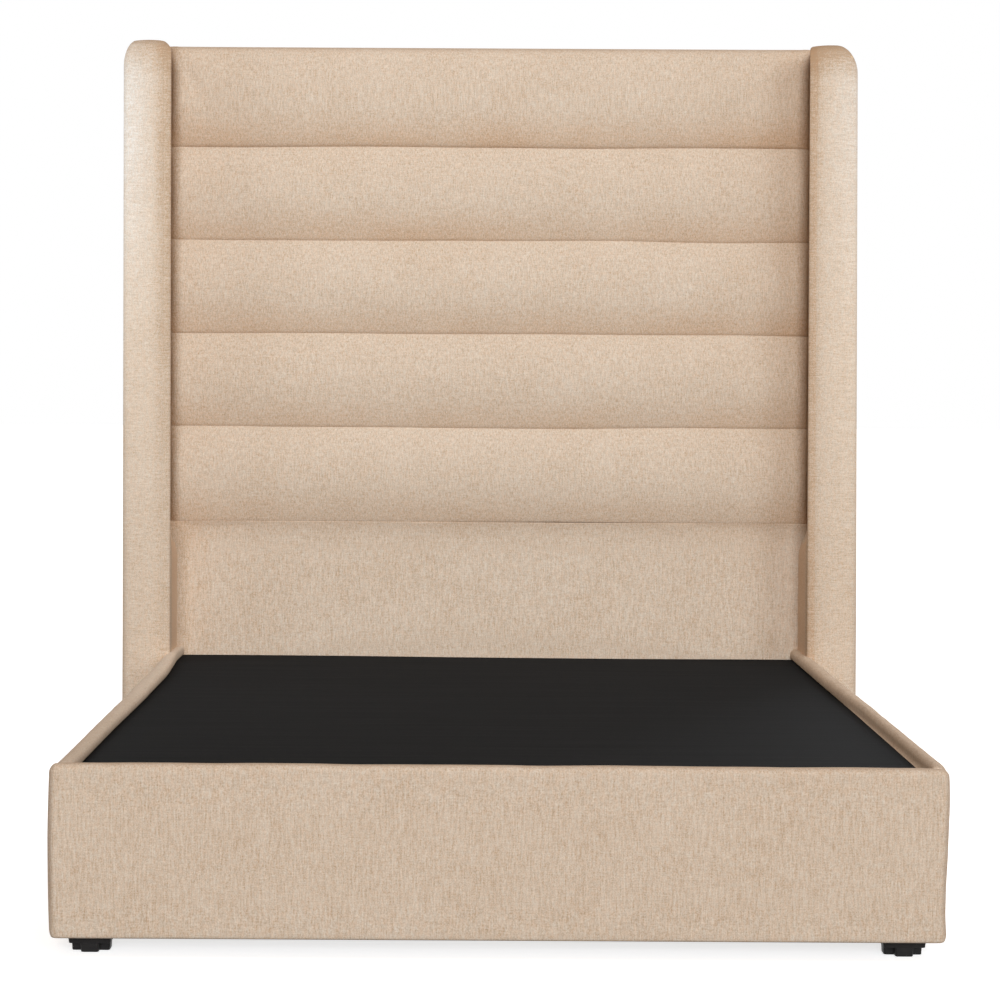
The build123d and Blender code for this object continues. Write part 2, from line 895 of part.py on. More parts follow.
def head_bolt_places():
    """Places across the bed of the bolts that hold the base to the headboard."""
    end = mounting_half - head_bolt_margin
    return spread(-end, end, head_bolt_count)


def head_bolt(x):
    """Bolt through the head board into the mounting board."""
    head = rod_y(x, head_board_front - bolt_head_height, head_board_front, head_bolt_z, bolt_head_radius)
    return head + rod_y(x, head_board_front, pad_front + insert_nut_length, head_bolt_z, bolt_radius)


def head_bolt_hole(x):
    """Clear hole for such a bolt in the head board."""
    return rod_y(x, head_board_front, pad_front, head_bolt_z, bolt_radius + hole_clearance)


def insert_nut(x, grow=0.0):
    """Round insert nut set into the mounting board, or the room for it."""
    end = pad_front + insert_nut_length + grow
    sleeve = rod_y(x, pad_front, end, head_bolt_z, insert_nut_radius + grow)
    if grow:
        return sleeve
    return sleeve - rod_y(x, pad_front, end, head_bolt_z, bolt_radius + hole_clearance)


# Cutting the holes


def drilled(shape, places, grip):
    """A piece with the clear holes of its screws."""
    for place, direction in places:
        shape -= screw(place, direction, grip, hole_clearance)
    return shape


def near(places, test):
    """The places that pass a test on their point and direction."""
    return [item for item in places if test(*item)]


def main():
    os.makedirs("parts", exist_ok=True)
    angles = bracket_screw_places()
    to_right = near(angles, lambda point, way: way == (-1, 0, 0))
    to_left = near(angles, lambda point, way: way == (1, 0, 0))
    to_foot = near(angles, lambda point, way: way == (0, 1, 0))
    to_head = near(angles, lambda point, way: way == (0, -1, 0))
    upward = near(angles, lambda point, way: way == (0, 0, -1))
    strips = ledger_screw_places()
    strips_right = near(strips, lambda point, way: way == (-1, 0, 0))
    strips_left = near(strips, lambda point, way: way == (1, 0, 0))
    strips_foot = near(strips, lambda point, way: way == (0, 1, 0))
    feet = foot_screw_places()

    # Base
    save("foot_rail_cover", make_foot_rail_cover())
    cover = make_side_rail_cover()
    save("side_rail_cover_right", cover)
    save("side_rail_cover_left", other_side(cover))
    foot_board = drilled(make_foot_rail_board(), to_foot, bracket_grip)
    save("foot_rail_board", drilled(foot_board, strips_foot, ledger_grip))
    side_board = drilled(make_side_rail_board(), to_right, bracket_grip)
    side_board = drilled(side_board, strips_right, ledger_grip)
    save("side_rail_board_right", side_board)
    save("side_rail_board_left", other_side(side_board))
    head_board = drilled(make_head_rail_board(), to_head, bracket_grip)
    for x in head_bolt_places():
        head_board -= head_bolt_hole(x)
    save("head_rail_board", head_board)
    ledger = drilled(make_side_ledger(), strips_right, ledger_grip)
    save("side_ledger_right", ledger)
    save("side_ledger_left", other_side(ledger))
    save("foot_ledger", drilled(make_foot_ledger(), strips_foot, ledger_grip))
    save("cross_bearers", make_cross_bearers())
    beam = drilled(make_centre_beam(), upward, bracket_grip)
    for y in leg_places():
        beam -= dowel(y, hole_clearance)
    save("centre_beam", beam)
    foot_half, head_half = make_deck_boards()
    save("deck_board_foot", foot_half)
    save("deck_board_head", head_half)
    save("deck_cover", make_deck_cover())
    corner = drilled(make_corner_block(), near(feet, lambda point, way: point[0] > 0), foot_grip)
    save("corner_block_right", corner)
    save("corner_block_left", other_side(corner))
    save("corner_brackets", [drilled(angle, angles, bracket_grip) for angle in make_corner_brackets()])
    save("beam_brackets", [drilled(angle, angles, bracket_grip) for angle in make_beam_brackets()])
    save("bracket_screws", [screw(place, way, bracket_grip) for place, way in angles])
    save("ledger_screws", [screw(place, way, ledger_grip) for place, way in strips])

    # Feet, legs and levellers
    save("foot_front_right", make_foot(base_foot_x, base_foot_y))
    save("foot_front_left", make_foot(-base_foot_x, base_foot_y))
    save("foot_headboard_right", make_foot(wing_foot_x, wing_foot_y))
    save("foot_headboard_left", make_foot(-wing_foot_x, wing_foot_y))
    save("foot_screws", [screw(place, way, foot_grip) for place, way in feet])
    for number, y in enumerate(leg_places(), start=1):
        save(f"centre_leg_{number}", make_leg(y))
        save(f"leveller_{number}", make_leveller(y))
    save("leg_dowels", [dowel(y) for y in leg_places()])
    save("leg_inserts", [make_insert(y) for y in leg_places()])

    # Headboard
    stile = make_stile()
    for z in wing_bolt_places():
        stile -= wing_bolt_hole(z)
    save("headboard_stile_right", stile)
    save("headboard_stile_left", other_side(stile))
    *cross_rails, top_rail = make_frame_rails()
    save("headboard_cross_rails", cross_rails)
    save("headboard_top_rail", top_rail)
    save("headboard_panel", make_headboard_panel())
    mounting = make_mounting_board()
    for x in head_bolt_places():
        mounting -= insert_nut(x, hole_clearance)
    save("mounting_board", mounting)
    save("headboard_back_cover", make_back_cover())
    save("channel_pad_1", make_top_channel_pad())
    for index in range(1, channel_count):
        save(f"channel_pad_{index + 1}", make_channel_pad(index))
    save("lower_pad", make_lower_pad())
    save("head_bolts", [head_bolt(x) for x in head_bolt_places()])
    save("head_bolt_inserts", [insert_nut(x) for x in head_bolt_places()])

    # Wings
    cover = make_wing_cover()
    save("wing_cover_right", cover)
    save("wing_cover_left", other_side(cover))
    inner, outer = make_wing_boards()
    for z in wing_bolt_places():
        inner -= wing_bolt_hole(z)
    save("wing_inner_board_right", inner)
    save("wing_inner_board_left", other_side(inner))
    save("wing_outer_board_right", outer)
    save("wing_outer_board_left", other_side(outer))
    post = make_wing_post()
    save("wing_post_right", post)
    save("wing_post_left", other_side(post))
    spacers = [
        drilled(spacer, near(feet, lambda point, way: point[0] > 0), foot_grip)
        for spacer in make_wing_spacers()
    ]
    save("wing_spacers_right", spacers)
    save("wing_spacers_left", [other_side(spacer) for spacer in spacers])
    bolts = [wing_bolt(z) for z in wing_bolt_places()]
    save("wing_bolts", both_sides(bolts))
    nuts = [wing_nut(z) for z in wing_bolt_places()]
    save("wing_nuts", both_sides(nuts))


if __name__ == "__main__":
    main()
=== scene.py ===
# %% [markdown]
# # A padded bed with a winged headboard
#
# This lesson dresses a bed that already exists as exact solids. Boards, beams and
# fixings keep their own shapes and only get finishes. Everything soft is modelled
# here: five sewn channels, a flat lower panel, two wings, three padded rails and the
# black cloth of the deck. The bed is loaded first. The finished upholstery may not
# grow out of it.

# %% Load the bed
import json
import math
import bmesh
import bpy
from mathutils import Matrix
from mathutils import Vector
from mathutils import noise


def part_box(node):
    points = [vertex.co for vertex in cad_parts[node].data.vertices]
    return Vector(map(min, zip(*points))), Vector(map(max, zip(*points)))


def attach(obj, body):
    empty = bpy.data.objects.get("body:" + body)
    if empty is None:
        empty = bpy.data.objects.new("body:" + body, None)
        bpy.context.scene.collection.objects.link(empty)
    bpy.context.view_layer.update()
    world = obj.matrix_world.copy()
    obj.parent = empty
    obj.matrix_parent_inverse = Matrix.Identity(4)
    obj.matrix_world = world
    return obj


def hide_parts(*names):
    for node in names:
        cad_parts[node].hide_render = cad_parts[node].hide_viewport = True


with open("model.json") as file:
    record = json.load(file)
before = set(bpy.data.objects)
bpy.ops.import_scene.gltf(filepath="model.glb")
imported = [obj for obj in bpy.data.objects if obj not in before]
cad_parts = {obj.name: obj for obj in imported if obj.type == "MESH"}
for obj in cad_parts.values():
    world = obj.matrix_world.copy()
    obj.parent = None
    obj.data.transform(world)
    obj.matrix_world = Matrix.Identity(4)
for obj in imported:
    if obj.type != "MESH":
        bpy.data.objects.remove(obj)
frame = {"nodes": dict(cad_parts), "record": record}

scene = bpy.context.scene
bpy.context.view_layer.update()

# %% [markdown]
# ## The camera
#
# The photograph was taken almost square on, from about a metre above the floor, with a
# long lens. Guessing such a view by eye is slow. Here the place, the lens and the shift were
# worked out from the corners of the bed, whose real sizes are known, and only the
# results are written down. The small roll is real: the photograph hangs to the right.

# %% Set up the camera
camera_place = Vector((-0.0692, -6.091, 1.0601))
camera_turn = math.radians(0.086)
camera_drop = math.radians(0.385)
camera_roll = math.radians(0.313)

lens = bpy.data.cameras.new("camera")
lens.sensor_width = 36.0
lens.lens = 102.1
lens.shift_x = 0.0429
lens.shift_y = -0.119
camera = bpy.data.objects.new("camera", lens)
scene.collection.objects.link(camera)
look_ahead = Matrix.Rotation(math.radians(90.0) - camera_drop, 4, "X")
camera.matrix_world = (
    Matrix.Translation(camera_place)
    @ Matrix.Rotation(camera_turn, 4, "Z")
    @ look_ahead
    @ Matrix.Rotation(camera_roll, 4, "Z")
)
scene.camera = camera
scene.view_settings.view_transform = "Standard"
print("camera stands", round(-camera_place.y, 2), "m in front of the middle of the bed")

# %% [markdown]
# ## Small helpers for finishes
#
# A finish is a tree of shader nodes. A few short functions keep the later cells readable:
# they start a material, add a node with its settings, add values up, colour a value and
# raise the surface by it. The one used most makes a noise that is stretched along the
# axes, which is how threads, grain and plating are all drawn. It reads Object
# coordinates, so a pattern stays on its piece.

# %% Helpers for finishes
def new_finish(name):
    """Start a material and give back its node tree and its main shader."""
    material = bpy.data.materials.new(name)
    material.use_nodes = True
    tree = material.node_tree
    return material, tree, tree.nodes["Principled BSDF"]


def add_node(tree, kind, links=(), **settings):
    """Add a node, set its fields, and link (socket, source) pairs into it."""
    node = tree.nodes.new(kind)
    for field, value in settings.items():
        setattr(node, field, value)
    for socket, source in links:
        tree.links.new(source, node.inputs[socket])
    return node


def stretched_noise(tree, scale, detail=2.0, shift=0.0):
    """Noise whose grain has its own size along each axis, in grains per metre."""
    place = add_node(tree, "ShaderNodeTexCoord")
    mapping = add_node(tree, "ShaderNodeMapping", [("Vector", place.outputs["Object"])])
    mapping.inputs["Scale"].default_value = scale
    mapping.inputs["Location"].default_value = (shift, shift, shift)
    grain = add_node(tree, "ShaderNodeTexNoise", [("Vector", mapping.outputs["Vector"])])
    grain.inputs["Scale"].default_value = 1.0
    grain.inputs["Detail"].default_value = detail
    return grain.outputs["Fac"]


def weighted_sum(tree, parts):
    """Add up several values, each times its weight."""
    total = None
    for value, weight in parts:
        scaled = add_node(tree, "ShaderNodeMath", [(0, value)], operation="MULTIPLY")
        scaled.inputs[1].default_value = weight
        if total is None:
            total = scaled.outputs[0]
        else:
            sources = [(0, total), (1, scaled.outputs[0])]
            total = add_node(tree, "ShaderNodeMath", sources, operation="ADD").outputs[0]
    return total


def colour_ramp(tree, value, stops):
    """Turn a value into a colour by way of (place, colour) stops."""
    node = add_node(tree, "ShaderNodeValToRGB", [("Fac", value)])
    ramp = node.color_ramp
    while len(ramp.elements) < len(stops):
        ramp.elements.new(0.5)
    for element, (place, colour) in zip(ramp.elements, stops):
        element.position = place
        element.color = (*colour, 1.0)
    return node.outputs["Color"]


def add_bump(tree, shader, height, strength, distance):
    """Let a value raise and lower the surface a little."""
    bump = add_node(tree, "ShaderNodeBump", [("Height", height)])
    bump.inputs["Strength"].default_value = strength
    bump.inputs["Distance"].default_value = distance
    tree.links.new(bump.outputs["Normal"], shader.inputs["Normal"])


print("finish helpers ready")

# %% [markdown]
# ## Oatmeal cloth
#
# The cover is a linen-look weave: greyish pale threads mixed with browner ones, some of
# them thick and uneven. Seen from across a room, only these slubs, a light grain and a
# drift between a greyer and a rosier beige are left of the weave. They are drawn as
# noise stretched along the threads. On the rails and the headboard the strong threads
# stand upright; on the wings the cloth was cut across, so there they lie flat. One
# function makes both by changing the weights. A piece may also store two tones at its
# points that paint light into the cloth. One shifts the threads browner for painted
# shade, as along the top of the wings, or paler for a painted highlight. The other warms
# the whole colour for painted shade, as above a seam, or cools it for a painted highlight.

# %% Mix the oatmeal cloth
thread_dark = (0.470, 0.320, 0.202)
thread_middle = (0.655, 0.521, 0.395)
thread_pale = (0.795, 0.690, 0.572)
rosy_drift = (1.024, 0.990, 0.960)
grey_drift = (0.976, 1.010, 1.040)
threads_across = 400.0
threads_along = 46.0
fine_grain = (420.0, 420.0, 420.0)
cloud_weight = 0.08
# The next four values paint light into the cloth: a browner or paler shift of the threads, and a warm
# tint for painted shade and a cool one for painted highlight.
painted_shade_shift = 0.17
painted_highlight_tone = (1.04, 1.14, 1.27)
painted_shade_tone = (0.90, 0.66, 0.46)
painted_tint_stops = [(0.0, painted_highlight_tone), (0.5, (1.0, 1.0, 1.0)), (1.0, painted_shade_tone)]


def multiply_colours(tree, first, second):
    """Multiply one colour by another."""
    sources = [("Color1", first), ("Color2", second)]
    node = add_node(tree, "ShaderNodeMixRGB", sources, blend_type="MULTIPLY")
    node.inputs["Fac"].default_value = 1.0
    return node.outputs["Color"]


def stored_tone(tree, name):
    """The value that a piece stores at its points under a name."""
    return add_node(tree, "ShaderNodeAttribute", attribute_name=name).outputs["Fac"]


def oatmeal_cloth(name, upright, level, fine):
    """Woven cloth whose upright and level threads and fine grain have the given weights."""
    material, tree, shader = new_finish(name)
    warp = stretched_noise(tree, (threads_across, threads_across, threads_along))
    weft = stretched_noise(tree, (threads_along, threads_along, threads_across), shift=3.7)
    grain = stretched_noise(tree, fine_grain, detail=3.0, shift=9.1)
    cloud = stretched_noise(tree, (7.0, 7.0, 7.0), detail=3.0, shift=1.3)
    strands = [(warp, upright), (weft, level), (grain, fine), (cloud, cloud_weight)]
    weave = weighted_sum(tree, strands)
    # Painted shade and highlight: a stored value shifts the threads browner or paler.
    toned = weighted_sum(tree, [(weave, 1.0), (stored_tone(tree, "painted_shade_and_highlight"), -painted_shade_shift)])
    middle = (upright + level + fine + cloud_weight) / 2
    stops = [(middle - 0.17, thread_dark), (middle, thread_middle), (middle + 0.18, thread_pale)]
    threads = colour_ramp(tree, toned, stops)
    drift = stretched_noise(tree, (240.0, 240.0, 110.0), detail=4.0, shift=6.4)
    tint = colour_ramp(tree, drift, [(0.36, rosy_drift), (0.64, grey_drift)])
    dyed = multiply_colours(tree, threads, tint)
    # Painted tint: a stored value warms the colour for painted shade or cools it for a painted
    # highlight.
    painted_tint = stored_tone(tree, "painted_tint")
    halved = add_node(tree, "ShaderNodeMath", [(0, painted_tint)], operation="MULTIPLY_ADD")
    halved.inputs[1].default_value = 0.5
    halved.inputs[2].default_value = 0.5
    painted_colour = multiply_colours(tree, dyed, colour_ramp(tree, halved.outputs[0], painted_tint_stops))
    tree.links.new(painted_colour, shader.inputs["Base Color"])
    shader.inputs["Roughness"].default_value = 0.95
    shader.inputs["Specular IOR Level"].default_value = 0.05
    shader.inputs["Sheen Weight"].default_value = 0.03
    shader.inputs["Sheen Roughness"].default_value = 0.5
    shader.inputs["Sheen Tint"].default_value = (*thread_pale, 1.0)
    add_bump(tree, shader, weave, 0.5, 0.0012)
    return material


panel_cloth = oatmeal_cloth("oatmeal_cloth_upright", 0.32, 0.15, 0.44)
wing_cloth = oatmeal_cloth("oatmeal_cloth_level", 0.13, 0.24, 0.42)
print("two cuts of oatmeal cloth")

# %% [markdown]
# ## Black cloth, plastic, metal and wood
#
# The other finishes are quieter. The deck is a matte black non-woven cloth with faint
# streaks and a speck of lint here and there. The feet are moulded plastic with a fine
# spark-eroded grain. The fixings are zinc-plated, the angles powder-coated. The timber
# hides under the deck, but it shows from below, so it gets real grain, turned along
# the length of each board.

# %% Mix the other finishes
felt_dark = (0.0115, 0.0121, 0.0127)
felt_middle = (0.0160, 0.0166, 0.0172)
felt_lint = (0.0230, 0.0236, 0.0242)


def deck_cloth():
    """Matte black non-woven cloth."""
    material, tree, shader = new_finish("black_deck_cloth")
    streak = stretched_noise(tree, (3.0, 120.0, 120.0), detail=4.0)
    fibre = stretched_noise(tree, fine_grain, detail=3.0, shift=5.0)
    felt = weighted_sum(tree, [(streak, 0.5), (fibre, 0.5)])
    stops = [(0.30, felt_dark), (0.50, felt_middle), (0.72, felt_lint)]
    tree.links.new(colour_ramp(tree, felt, stops), shader.inputs["Base Color"])
    shader.inputs["Roughness"].default_value = 0.95
    shader.inputs["Specular IOR Level"].default_value = 0.03
    add_bump(tree, shader, felt, 0.3, 0.0006)
    return material


def moulded_plastic():
    """Black plastic with a fine moulded grain."""
    material, tree, shader = new_finish("moulded_black_plastic")
    grain = stretched_noise(tree, (900.0, 900.0, 900.0), detail=2.0)
    cloud = stretched_noise(tree, (60.0, 60.0, 60.0), detail=2.0, shift=2.0)
    tone = weighted_sum(tree, [(grain, 0.4), (cloud, 0.6)])
    stops = [(0.30, (0.011, 0.010, 0.010)), (0.70, (0.024, 0.022, 0.021))]
    tree.links.new(colour_ramp(tree, tone, stops), shader.inputs["Base Color"])
    shader.inputs["Roughness"].default_value = 0.42
    shader.inputs["Specular IOR Level"].default_value = 0.12
    add_bump(tree, shader, grain, 0.25, 0.0003)
    return material


def plated_metal(name, dark, highlight, roughness, metallic):
    """Metal with a cloudy plating or coat."""
    material, tree, shader = new_finish(name)
    cloud = stretched_noise(tree, (140.0, 140.0, 140.0), detail=4.0)
    tree.links.new(colour_ramp(tree, cloud, [(0.3, dark), (0.7, highlight)]), shader.inputs["Base Color"])
    shader.inputs["Metallic"].default_value = metallic
    shader.inputs["Roughness"].default_value = roughness
    add_bump(tree, shader, cloud, 0.15, 0.0004)
    return material


def sawn_wood(name, along, highlight, dark):
    """Timber or plywood with its grain along one axis."""
    material, tree, shader = new_finish(name)
    rings = [60.0, 60.0, 60.0]
    rings[along] = 2.2
    pores = [700.0, 700.0, 700.0]
    pores[along] = 14.0
    ring = stretched_noise(tree, rings, detail=3.0)
    pore = stretched_noise(tree, pores, detail=2.0, shift=4.0)
    grain = weighted_sum(tree, [(ring, 0.7), (pore, 0.3)])
    stops = [(0.34, dark), (0.52, highlight), (0.66, tuple(0.9 * part for part in highlight))]
    tree.links.new(colour_ramp(tree, grain, stops), shader.inputs["Base Color"])
    shader.inputs["Roughness"].default_value = 0.72
    add_bump(tree, shader, grain, 0.2, 0.0006)
    return material


black_cloth = deck_cloth()
foot_plastic = moulded_plastic()
zinc = plated_metal("zinc_plating", (0.42, 0.42, 0.40), (0.62, 0.62, 0.59), 0.34, 1.0)
powder_coat = plated_metal("black_powder_coat", (0.010, 0.010, 0.010), (0.020, 0.020, 0.020), 0.55, 0.0)
pine_tones = ((0.66, 0.46, 0.26), (0.47, 0.28, 0.13))
plywood_tones = ((0.60, 0.43, 0.26), (0.45, 0.29, 0.15))
pine = [sawn_wood(f"pine_{name}", axis, *pine_tones) for axis, name in enumerate("xyz")]
plywood = [sawn_wood(f"plywood_{name}", axis, *plywood_tones) for axis, name in enumerate("xyz")]
print("deck cloth, plastic, two metals and six cuts of wood")

# %% [markdown]
# ## Finishes for the boards and fixings
#
# These solids stay as they are. Each one gets the finish of its material slot, and wood
# gets the cut whose grain follows its longest side, which its box tells.

# %% Dress the boards and fixings
def dress(node, finish):
    """Give a solid one finish in all its slots."""
    piece = frame["nodes"][node]
    piece.data.materials.clear()
    piece.data.materials.append(finish)


dressed = 0
for subpart in frame["record"]["subparts"]:
    node, slot = subpart["node"], subpart["material_slot"]
    low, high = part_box(node)
    longest = max(range(3), key=lambda axis: high[axis] - low[axis])
    if slot == "softwood":
        dress(node, pine[longest])
    elif slot == "plywood":
        dress(node, plywood[longest])
    elif slot in ("zinc_fixings", "leveller_metal"):
        dress(node, zinc)
    elif slot == "bracket_steel":
        dress(node, powder_coat)
    else:
        continue
    dressed += 1
print("boards and fixings dressed:", dressed)

# %% [markdown]
# ## Small helpers for soft shapes
#
# Padding starts as a block whose faces are cut into a net, because cloth can only bend
# where it has points. The cuts stand closer together near the ends, where the cloth
# turns. The block is then rolled, crowned and pinched by moving its points, blown up a
# little by a cloth simulation, and smoothed by one subdivision.

# %% Helpers for soft shapes
def cut_places(low, high, step, crowd=0.0):
    """Places about a step apart, drawn towards both ends as crowd goes from 0 to 1."""
    count = max(2, round((high - low) / step))
    places = []
    for index in range(1, count):
        even = index / count
        eased = 0.5 - 0.5 * math.cos(math.pi * even)
        places.append(low + (high - low) * (even + (eased - even) * crowd))
    return places


def new_block(low, high):
    """A plain block between two corners."""
    bm = bmesh.new()
    size = Matrix.Diagonal((*(high - low), 1.0))
    bmesh.ops.create_cube(bm, size=1.0, matrix=Matrix.Translation((low + high) / 2) @ size)
    return bm


def cut(bm, axis, places):
    """Cut all faces square to an axis, at each place."""
    normal = Vector((0.0, 0.0, 0.0))
    normal[axis] = 1.0
    for place in places:
        everything = bm.verts[:] + bm.edges[:] + bm.faces[:]
        bmesh.ops.bisect_plane(bm, geom=everything, plane_co=normal * place, plane_no=normal)


def round_edges(bm, chosen, radius, segments):
    """Round the edges that pass a test."""
    edges = [edge for edge in bm.edges if chosen(edge.verts[0].co, edge.verts[1].co)]
    bmesh.ops.bevel(
        bm, geom=edges, offset=radius, segments=segments, profile=0.5, affect="EDGES", material=-1
    )


def drop_faces(bm, chosen):
    """Delete the faces whose middle and normal pass a test."""
    faces = [face for face in bm.faces if chosen(face.calc_center_median(), face.normal)]
    bmesh.ops.delete(bm, geom=faces, context="FACES")


def new_piece(name, bm):
    """Turn a bmesh into a named piece with smooth faces."""
    for face in bm.faces:
        face.smooth = True
    mesh = bpy.data.meshes.new(name)
    bm.to_mesh(mesh)
    bm.free()
    piece = bpy.data.objects.new(name, mesh)
    scene.collection.objects.link(piece)
    return piece


def keep_modifiers(piece):
    """Make the work of a piece's modifiers part of its mesh."""
    graph = bpy.context.evaluated_depsgraph_get()
    shaped = bpy.data.meshes.new_from_object(piece.evaluated_get(graph))
    shaped.name = piece.name
    piece.modifiers.clear()
    piece.data = shaped


def smooth_once(piece):
    """Refine the net of a piece by one subdivision."""
    finer = piece.modifiers.new("finer", "SUBSURF")
    finer.levels = 1
    finer.render_levels = 1
    keep_modifiers(piece)


def give_thickness(piece, wall):
    """Turn an open skin into a closed wall, thickened inwards."""
    thicker = piece.modifiers.new("wall", "SOLIDIFY")
    thicker.thickness = wall
    thicker.offset = -1.0
    keep_modifiers(piece)


def blend_with_neighbours(piece, moves):
    """Average the move of each point with those of the points next to it."""
    sums = [move.copy() for move in moves]
    counts = [1] * len(moves)
    for edge in piece.data.edges:
        first, second = edge.vertices
        sums[first] += moves[second]
        sums[second] += moves[first]
        counts[first] += 1
        counts[second] += 1
    return [total / count for total, count in zip(sums, counts)]


def swell(piece, is_held, pressure, cap):
    """Blow a piece up with cloth pressure; held points stay, others move up to a cap."""
    start = [vertex.co.copy() for vertex in piece.data.vertices]
    held = piece.vertex_groups.new(name="held")
    held.add([index for index, place in enumerate(start) if is_held(place)], 1.0, "REPLACE")
    cloth = piece.modifiers.new("padding", "CLOTH")
    cloth.settings.vertex_group_mass = "held"
    cloth.settings.use_pressure = True
    cloth.settings.uniform_pressure_force = pressure
    cloth.settings.effector_weights.gravity = 0.0
    for number in range(1, 21):
        scene.frame_set(number)
    graph = bpy.context.evaluated_depsgraph_get()
    blown = [vertex.co.copy() for vertex in piece.evaluated_get(graph).data.vertices]
    piece.modifiers.remove(cloth)
    piece.vertex_groups.remove(held)
    scene.frame_set(1)
    moves = [after - before for before, after in zip(start, blown)]
    moves = [move * min(1.0, cap / max(move.length, 1e-9)) for move in moves]
    for turn in range(3):
        moves = blend_with_neighbours(piece, moves)
    for vertex, before, move in zip(piece.data.vertices, start, moves):
        if not is_held(before):
            vertex.co = before + move
    return max(move.length for move in moves)


def smooth_rise(value, start, full):
    """0 up to start, 1 from full on, and a soft slope between."""
    share = min(1.0, max(0.0, (value - start) / (full - start)))
    return share * share * (3.0 - 2.0 * share)


def store(piece, name, amount_at):
    """Store a value, worked out from the place, at each point of a piece."""
    layer = piece.data.attributes.new(name, "FLOAT", "POINT")
    for vertex in piece.data.vertices:
        layer.data[vertex.index].value = amount_at(vertex.co)


def ripple(x, row, length):
    """A steady, uneven wave along x, from about -1 to 1; each row has its own."""
    return noise.noise(Vector((x / length, 17.3 * row, 0.5))) * 1.6


def stretch_corner(bm, top, edge, radius, stretch, side=1):
    """Draw a rounded top corner out downwards; edge is its place across, on a side."""
    for vertex in bm.verts:
        drop = top - vertex.co.z
        if side * vertex.co.x > edge - radius + 1e-5 and drop < radius + 1e-5:
            vertex.co.z = top - drop * stretch


def turn_to_left(bm):
    """Mirror a right-hand shape to the left."""
    bmesh.ops.scale(bm, vec=Vector((-1.0, 1.0, 1.0)), verts=bm.verts[:])
    bmesh.ops.reverse_faces(bm, faces=bm.faces[:])


def stand_for(piece, node, finish):
    """Give a piece its finish, and let it ride on the bed in place of a solid."""
    piece.data.materials.append(finish)
    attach(piece, "bed")
    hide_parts(node)


print("shape helpers ready")

# %% [markdown]
# ## The sewn channels
#
# The upper headboard is five foam channels, sewn to the board along straight seams. Each
# is a cushion of its own here. Its section is a shallow arch, and its ends roll back
# behind the front edges of the wings, so the seams seem to run right up to the wings.
# Such a shape, with light from above, gives the slow shade from pale to brown and a thin
# line at each seam. More shade is painted into the cloth: it is warmer and darker above
# each seam and towards the right wing, and browner at the left ends. The seams wander by a
# couple of millimetres and pull small puckers into the cloth, as sewing by hand does.
# Seams are held while the cushion is blown up.

# %% Shape of a channel
panel_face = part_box("headboard_panel")[0].y
board_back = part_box("headboard_stile_right")[1].y
frame_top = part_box("headboard_top_rail")[1].z
channel_seam_depth = 0.0370
last_seam_depth = 0.036
channel_crown_depth = panel_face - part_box("channel_pad_3")[0].y
channel_half = 0.802
channel_end_reach = 0.032
channel_end_drop = 0.016
seam_closing = 0.00015
last_seam = 5
seam_shift = {last_seam: -0.0035}
seam_margin = 0.0014
top_roll = 0.020
top_rise = 0.0060
top_slope = 0.010
start_slack = 0.003
seam_wander = 0.0022
stitch_depth = 0.0019
last_stitch_depth = 0.0008
stitch_width = 0.0032
pucker_depth = 0.0012
pucker_reach = 0.14
# Painted shade: warmer above each seam in uneven patches, warmer towards the right wing, browner at the
# left ends.
seam_painted_shade = [0.36, 0.30, 0.29, 0.22, 0.24]
seam_painted_shade_reach = 0.42
painted_shade_patches = 0.30
right_end_painted_shade = 0.17
left_end_painted_shade = 0.55


def end_turn(x, half):
    """How far a channel has rolled back towards a wing, from 0 to 1 at its very end."""
    turn = max(0.0, 1.0 - (half - abs(x)) / channel_end_reach)
    return 1.0 - math.sqrt(max(0.0, 1.0 - turn * turn))


def channel_depth(rise, foot_depth):
    """How far a channel stands off the board, for a rise from 0 at its lower seam to 1."""
    edge = 2.0 * min(rise, 1.0 - rise)
    seam = foot_depth if rise < 0.5 else channel_seam_depth
    return seam + (channel_crown_depth - start_slack - seam) * (1.0 - (1.0 - edge) ** 2)


def shape_channel(bm, low, high, is_top, foot_depth):
    """Crown the net of a block into a channel."""
    height = high.z - low.z
    for vertex in bm.verts:
        place = vertex.co
        front = (panel_face - place.y) / (panel_face - low.y)
        rise = min(1.0, max(0.0, (place.z - low.z) / height))
        depth = channel_depth(rise, foot_depth)
        if is_top and rise > 0.5:
            over = max(0.0, place.z - (high.z - top_roll)) / top_roll
            crest = channel_crown_depth - start_slack - top_slope * (2.0 * rise - 1.0) ** 2
            depth = crest - top_roll * (1.0 - math.sqrt(max(0.0, 1.0 - over * over)))
            place.z += top_rise * (2.0 * rise - 1.0)
        if front > 0.0:
            fullness = max(0.0, depth - channel_seam_depth) + channel_end_drop
            place.y = panel_face - front * (depth - fullness * end_turn(place.x, high.x))


def pucker_channel(piece, row, low, high):
    """Let the seams wander, and pinch the cloth along them."""
    height = high.z - low.z
    for vertex in piece.data.vertices:
        place = vertex.co
        rise = (place.z - low.z) / height
        if place.y > panel_face - 0.5 * channel_seam_depth:
            continue
        for seam, gap in ((row, 1.0 - rise), (row + 1, rise)):
            if seam == 0 or gap > 0.5:
                continue
            near = max(0.0, 1.0 - 2.0 * gap)
            place.z += seam_wander * ripple(place.x, seam, 0.31) * near
            pinch = max(0.0, 1.0 - gap / pucker_reach) ** 2
            fold = ripple(place.x, seam + 40 + 9 * (gap == rise), 0.030)
            place.y += pucker_depth * fold * pinch * min(1.0, 12.0 * max(0.0, gap))
            sunk = last_stitch_depth if seam == last_seam else stitch_depth
            place.y += sunk * math.exp(-((gap * height / stitch_width) ** 2))


print("channels stand", round(1000 * channel_crown_depth), "mm off the board")

